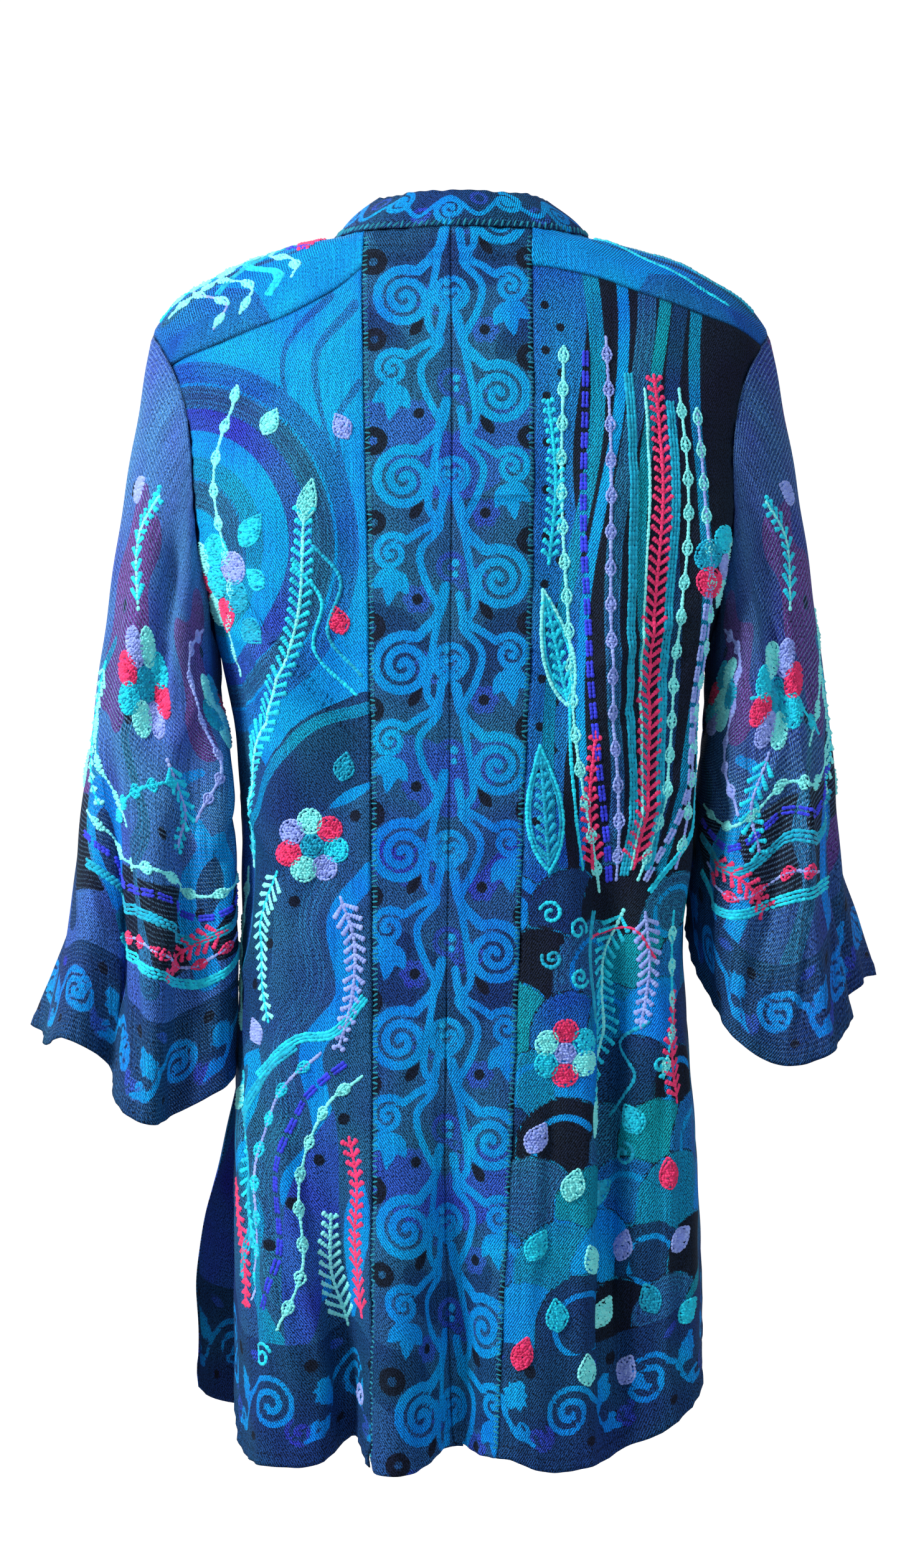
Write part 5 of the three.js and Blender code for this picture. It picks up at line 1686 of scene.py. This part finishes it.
right = [
    beads(spline([(66, 486), (40, 400), (28, 300), (20, 190), (22, 92)]), "mint", spacing=25),
    dashes(spline([(72, 480), (54, 400), (42, 300), (36, 200), (38, 96)]), "royal"),
    beads(spline([(77, 478), (66, 390), (58, 290), (56, 190), (54, 84)]), "periwinkle", spacing=26),
    band(spline([(82, 474), (80, 390), (74, 300), (74, 210), (70, 110)]), "teal", 8),
    fern(spline([(88, 470), (94, 390), (92, 300), (96, 200), (90, 112)]), "raspberry", "raspberry", 13),
    beads(spline([(93, 478), (110, 400), (112, 310), (116, 220), (110, 120)]), "mint", spacing=25),
    dashes(spline([(98, 480), (126, 410), (130, 330), (134, 250)]), "periwinkle"),
    band(spline([(104, 486), (138, 430), (146, 350)]), "aqua", 6),
    veined_leaf((20, 470), (10, 380), 26, "aqua", "teal"),
    veined_leaf((30, 352), (8, 268), 22, "mint", "aqua"),
    chain(spline([(86, 470), (88, 390), (84, 300), (86, 200), (82, 120)]), "mint", 2.6),
    band(spline([(100, 470), (104, 390), (103, 300), (106, 210), (102, 130)]), "teal", 7),
    beads(spline([(122, 470), (132, 380), (138, 300), (128, 200), (124, 140)]), "periwinkle", "mint"),
    chain(spline([(48, 470), (34, 400), (30, 330)]), "aqua", 3),
    fern(spline([(12, 250), (16, 190), (10, 130)]), "aqua", "aqua", 9),
    fern(spline([(58, 470), (48, 420), (50, 370)]), "raspberry", "raspberry", 9),
    band(spline([(64, 500), (58, 540), (66, 580)]), "teal", 6),
    beads(spline([(130, 500), (140, 560), (132, 620)]), "aqua", "mint"),
    fern(spline([(146, 640), (138, 600), (144, 560)]), "raspberry", "raspberry", 11),
    curl((22, 500), 9, 1.4, 200, "aqua"), curl((44, 512), 9, 1.4, 20, "aqua", -1),
    curl((24, 532), 8, 1.4, 200, "teal", -1), curl((46, 546), 8, 1.4, 20, "aqua"),
    flower((150, 250), 30, 6, ["aqua", "mint", "raspberry", "teal"], "periwinkle", 0.4),
    fern(spline([(88, 498), (78, 540), (84, 590), (70, 636)]), "mint", "aqua", 14),
    filled(leaf((70, 634), (62, 662), 13), "mint"),
    fern(spline([(104, 500), (116, 540), (112, 584)]), "periwinkle", "periwinkle", 13),
    flower((36, 600), 24, 6, ["mint", "raspberry", "aqua"], "periwinkle", 0.5),
    chain(spline([(60, 520), (96, 512), (120, 534)]), "raspberry", 2.8),
    chain(spline([(90, 650), (110, 620), (96, 596), (118, 580)]), "teal", 3.2),
    curl((104, 676), 9, 1.4, 270, "teal"), curl((128, 612), 8, 1.3, 90, "aqua", -1),
    dropped_leaves([(18, 660), (110, 650), (46, 694), (84, 704), (140, 690), (22, 736), (64, 748),
                    (108, 742), (156, 738),
                    (40, 786), (92, 790), (132, 780), (16, 812), (170, 790), (66, 826), (116, 832)],
                   ["periwinkle", "aqua", "mint", "teal", "raspberry", "aqua", "mint", "periwinkle"],
                   (24, 16)),
]
sew("back_left", left)
sew("back_right", right)


# %% [markdown]
# ### The sleeves
# Rows, ferns and flowers lie on the outer and back side of each sleeve, where they are seen most.

# %% embroidery of the sleeves
def round_sleeve(name):
    """Turns shares of the sleeve's girth into places across the flat cloth."""
    cloth = cloths[name]
    girth = cloth["flat"][:, -1, 0]
    down = cloth["flat"][:, 0, 1]
    return lambda share, v: (share * float(np.interp(v, down, girth)), v)


for side in ("left", "right"):
    name = f"sleeve_cloth_{side}"
    at = round_sleeve(name)
    long = cloths[name]["flat"][-1, 0, 1]
    low = long - 165
    runs = [
        flower(at(0.08 if side == "left" else 0.1, 96), 32, 7,
               ["teal", "mint", "periwinkle", "aqua", "raspberry"], "mint", 0.5),
        flower(at(0.3 if side == "left" else 0.27, 150), 33, 8,
               ["raspberry", "aqua", "mint", "periwinkle"], "teal", 0.2),
        fern(spline([at(0.24, 178), at(0.2, 205), at(0.22, 236)]), "periwinkle", "aqua", 12),
        fern(spline([at(0.33, 118), at(0.36, 88), at(0.33, 52)]), "mint", "aqua", 12),
        beads(spline([at(0.12, 40), at(0.17, 90), at(0.13, 150), at(0.18, 210)]), "periwinkle",
              spacing=24),
        fern(spline([at(0.44, 170), at(0.46, 210), at(0.42, 250)]), "aqua", "mint", 11),
        beads(spline([at(0.06, low), at(0.16, low + 16), at(0.26, low + 2), at(0.36, low + 18),
                      at(0.46, low + 6)]), "mint", spacing=24),
        dashes(spline([at(0.06, low + 16), at(0.16, low + 32), at(0.26, low + 18), at(0.36, low + 34),
                       at(0.46, low + 22)]), "royal"),
        band(spline([at(0.07, low + 32), at(0.17, low + 48), at(0.27, low + 34), at(0.37, low + 50),
                     at(0.46, low + 40)]), "teal", 7),
        beads(spline([at(0.1, low + 52), at(0.18, low + 66), at(0.27, low + 54), at(0.36, low + 68)]),
              "periwinkle", "raspberry", spacing=22),
        band(spline([at(0.08, low + 66), at(0.16, low + 80), at(0.26, low + 68), at(0.4, low + 82)]),
             "aqua", 7),
        beads(spline([at(0.2, low - 70), at(0.3, low - 40), at(0.38, low - 4)]), "aqua", spacing=22),
        beads(spline([at(0.46, low - 60), at(0.42, low - 30), at(0.34, low - 6)]), "mint", spacing=22),
        fern(spline([at(0.13, low + 44), at(0.2, low + 54), at(0.24, low + 70)]), "raspberry",
             "raspberry", 12),
        veined_leaf(at(0.56, 190), at(0.62, 120), 24, "aqua", "teal"),
        flower(at(0.76, 175), 25, 6, ["mint", "periwinkle", "aqua"], "raspberry", 0.1),
        beads(spline([at(0.62, low + 10), at(0.72, low + 26), at(0.82, low + 10), at(0.92, low + 24)]),
              "mint", spacing=26),
        dropped_leaves([at(0.08, 100), at(0.4, 70), at(0.52, 240), at(0.68, 90), at(0.88, 120),
                        at(0.9, 220)],
                       ["aqua", "periwinkle", "mint", "raspberry"]),
    ]
    sew(name, runs)

# %% [markdown]
# ### The fronts
# The fronts pass over the shoulders, so their rows begin on the back. They are sparser in front.

# %% embroidery of the fronts and the shoulders
sew("front_cloth_left", [
    beads(spline([(24, -4), (70, -14), (110, -30), (150, -34)]), "mint", spacing=24),
    beads(spline([(20, 8), (66, 0), (106, -14), (150, -20)]), "aqua", "mint", spacing=24),
    band(spline([(30, -16), (74, -28), (112, -46)]), "teal", 6),
    fern(spline([(16, -12), (26, -30), (40, -44)]), "raspberry", "raspberry", 11),
    beads(spline([(44, -6), (56, -28), (52, -48), (64, -66)]), "mint", spacing=20),
    band(spline([(62, -4), (76, -30), (70, -54), (84, -72)]), "aqua", 7),
    beads(spline([(84, -2), (98, -30), (92, -52), (106, -76)]), "mint", spacing=20),
    dashes(spline([(30, -4), (40, -24), (36, -46)]), "royal"),
    beads(spline([(108, -2), (120, -30), (116, -56), (128, -80)]), "periwinkle", "mint", spacing=20),
    fern(spline([(60, 300), (76, 250), (66, 200), (84, 150), (76, 90)]), "mint", "aqua", 14),
    flower((70, 330), 27, 7, ["raspberry", "mint", "periwinkle", "aqua"], "teal"),
    beads(spline([(30, 130), (40, 220), (30, 310), (44, 400)]), "periwinkle", spacing=26),
    fern(spline([(60, 640), (50, 580), (70, 520), (60, 460)]), "periwinkle", "mint", 14),
    beads(spline([(20, 500), (34, 580), (24, 660), (40, 740)]), "mint", spacing=26),
    dropped_leaves([(110, 480), (130, 560), (96, 620), (120, 700), (70, 720), (150, 640)],
                   ["aqua", "mint", "raspberry", "periwinkle"]),
])
sew("front_cloth_right", [
    chain(spline([(30, -6), (74, -16), (116, -28), (150, -30)]), "teal", 2.4),
    chain(spline([(16, -30), (60, -40), (110, -52), (150, -60)]), "aqua", 2.2),
    beads(spline([(20, 60), (36, 150), (24, 240), (40, 330), (30, 420)]), "mint", spacing=26),
    dashes(spline([(36, 60), (52, 150), (40, 240), (56, 330), (46, 420)]), "royal"),
    fern(spline([(70, 90), (78, 160), (66, 230), (80, 300)]), "raspberry", "raspberry", 13),
    veined_leaf((90, 420), (76, 330), 26, "aqua", "teal"),
    flower((60, 500), 26, 6, ["mint", "raspberry", "aqua"], "periwinkle"),
    dropped_leaves([(30, 580), (80, 590), (120, 560), (50, 650), (100, 660), (150, 640), (30, 720),
                    (84, 730), (130, 730), (60, 800)],
                   ["periwinkle", "aqua", "mint", "teal", "raspberry"]),
])

# %% [markdown]
# ## Laid seams
# The strips are joined to the panels with a shallow groove, and small slanting stitches in dark teal
# yarn lie across it. The same stitches hold the foot of the collar.

# %% ladder stitches
for side in ("left", "right"):
    name = f"border_strip_{side}"
    flat = cloths[name]["flat"]
    edge = flat[2:-2, -1]
    places, _ = walk(edge - (1.9, 0), 3.7)
    rungs = rows_of(places, 0.35, 4.4, 1.5, 0.9, "peacock")
    rungs[::2, 2] -= 0.5
    sew(name, [rungs])
low = cloths["collar"]["flat"][-1]
places, turns = walk(low - (0, 3.0), 4.4)
rungs = rows_of(places, turns + math.pi / 2 + 0.5, 5.4, 1.7, 1.1, "peacock")
sew("collar", [rungs])

# %% [markdown]
# ## The cut
# Each piece was cut flat before it was sewn. The size is the rectangle that the piece fits in. Where it
# is shaped, such as at an armhole, its flat area is given too.

# %% cut sizes
# width and length of the rectangle, flat area, and the pieces that it is sewn to and hangs from
CUTS = {
    "border_strip_left": (0.068, 0.898, None, ["collar"]),
    "border_strip_right": (0.06, 0.89, None, ["collar"]),
    "back_left": (0.29, 0.87, 0.148, ["front_cloth_left", "border_strip_left"]),
    "back_right": (0.3, 0.87, 0.165, ["front_cloth_right", "border_strip_right"]),
    "front_cloth_left": (0.275, 1.05, 0.217, ["collar", "border_strip_left"]),
    "front_cloth_right": (0.28, 1.04, 0.212, ["collar", "border_strip_right"]),
    "sleeve_cloth_left": (0.6, 0.42, 0.188, ["front_cloth_left", "back_left"]),
    "sleeve_cloth_right": (0.6, 0.37, 0.155, ["front_cloth_right", "back_right"]),
    "collar": (0.62, 0.036, None, ["front_cloth_left", "front_cloth_right"]),
    "allowance_centre": (0.014, 0.885, None, ["border_strip_left"]),
    "allowance_left": (0.014, 0.85, None, ["border_strip_left"]),
    "allowance_right": (0.014, 0.85, None, ["border_strip_right"]),
    "neck_tape": (0.66, 0.018, None, ["collar"]),
}
for name, (width, length, area, sewn_to) in CUTS.items():
    print(name, "cut", width, "by", length)

# %% [markdown]
# ## The studio
# The jacket stands before plain white paper, in soft light from its left and above. A round bowl of
# paper is the same from all sides, where a flat backdrop would end. It lights nothing itself: three
# lamps and an even room light do.

# %% paper backdrop
bm = bmesh.new()
profile = [bm.verts.new((r, 0, z)) for r, z in [(0, -1.5), (5.2, -1.5), (6.3, -1.42), (6.9, -1.1),
                                                (7.1, -0.6), (7.1, 3.4)]]
rim = [bm.edges.new(pair) for pair in zip(profile[:-1], profile[1:])]
bmesh.ops.spin(bm, geom=profile + rim, axis=(0, 0, 1), cent=(0, 0, 0), angle=2 * math.pi, steps=72,
               use_merge=True)
bmesh.ops.remove_doubles(bm, verts=bm.verts, dist=1e-4)
bmesh.ops.recalc_face_normals(bm, faces=bm.faces)
mesh = bpy.data.meshes.new("studio_bowl")
bm.to_mesh(mesh)
bm.free()
mesh.shade_smooth()
backdrop = bpy.data.objects.new("studio_bowl", mesh)
bpy.context.collection.objects.link(backdrop)
backdrop.visible_diffuse = False
backdrop.visible_glossy = False
# white paper, matt and evenly lit, so that the eye sees no edge or fold in it
paper = bpy.data.materials.new("white paper")
paper.use_nodes = True
paper.node_tree.nodes["Principled BSDF"].inputs["Base Color"].default_value = linear("#a8a8a8")
paper.node_tree.nodes["Principled BSDF"].inputs["Roughness"].default_value = 0.9
paper.node_tree.nodes["Principled BSDF"].inputs["Emission Color"].default_value = linear("#ffffff")
paper.node_tree.nodes["Principled BSDF"].inputs["Emission Strength"].default_value = 0.86
mesh.materials.append(paper)
print("backdrop:", backdrop.name)

# %% light
scene = bpy.context.scene
world = bpy.data.worlds.new("soft room")
world.use_nodes = True
world.node_tree.nodes["Background"].inputs["Color"].default_value = linear("#f6f8fb")
world.node_tree.nodes["Background"].inputs["Strength"].default_value = 0.42
scene.world = world


def lamp(name, place, aim, size, watts, colour):
    data = bpy.data.lights.new(name, "AREA")
    data.size = size
    data.energy = watts
    data.color = linear(colour)[:3]
    one = bpy.data.objects.new(name, data)
    one.location = place
    one.rotation_euler = (Vector(aim) - Vector(place)).to_track_quat("-Z", "Y").to_euler()
    bpy.context.collection.objects.link(one)


lamp("key", (2.1, 1.35, 1.0), (0, 0, -0.45), 0.7, 104, "#fffaf4")
lamp("fill", (-1.9, 1.8, 0.3), (0, 0, -0.5), 1.6, 12, "#eef5ff")
lamp("front", (0.8, -2.3, 0.7), (0, 0, -0.4), 1.6, 26, "#ffffff")

# %% [markdown]
# ### Camera
# The photograph shows the back. The camera's distance, height and lens are estimates from the size of
# the display figure, because nothing in the picture gives them.

# %% camera
PHOTO_HEIGHT = 2518
FOCAL_LENGTH = 4689  # in pixels of the photograph
CAMERA_AWAY = 2.2  # metres
CAMERA_HEIGHT = -0.35
data = bpy.data.cameras.new("camera")
data.lens = FOCAL_LENGTH / PHOTO_HEIGHT * 36
data.sensor_width = 36
data.shift_y = -0.051
camera = bpy.data.objects.new("camera", data)
camera.location = (0, CAMERA_AWAY, CAMERA_HEIGHT)
camera.rotation_euler = (math.pi / 2, 0, math.pi)
bpy.context.collection.objects.link(camera)
scene.camera = camera
scene.view_settings.view_transform = "Standard"
print("lens", round(data.lens, 1), "mm")
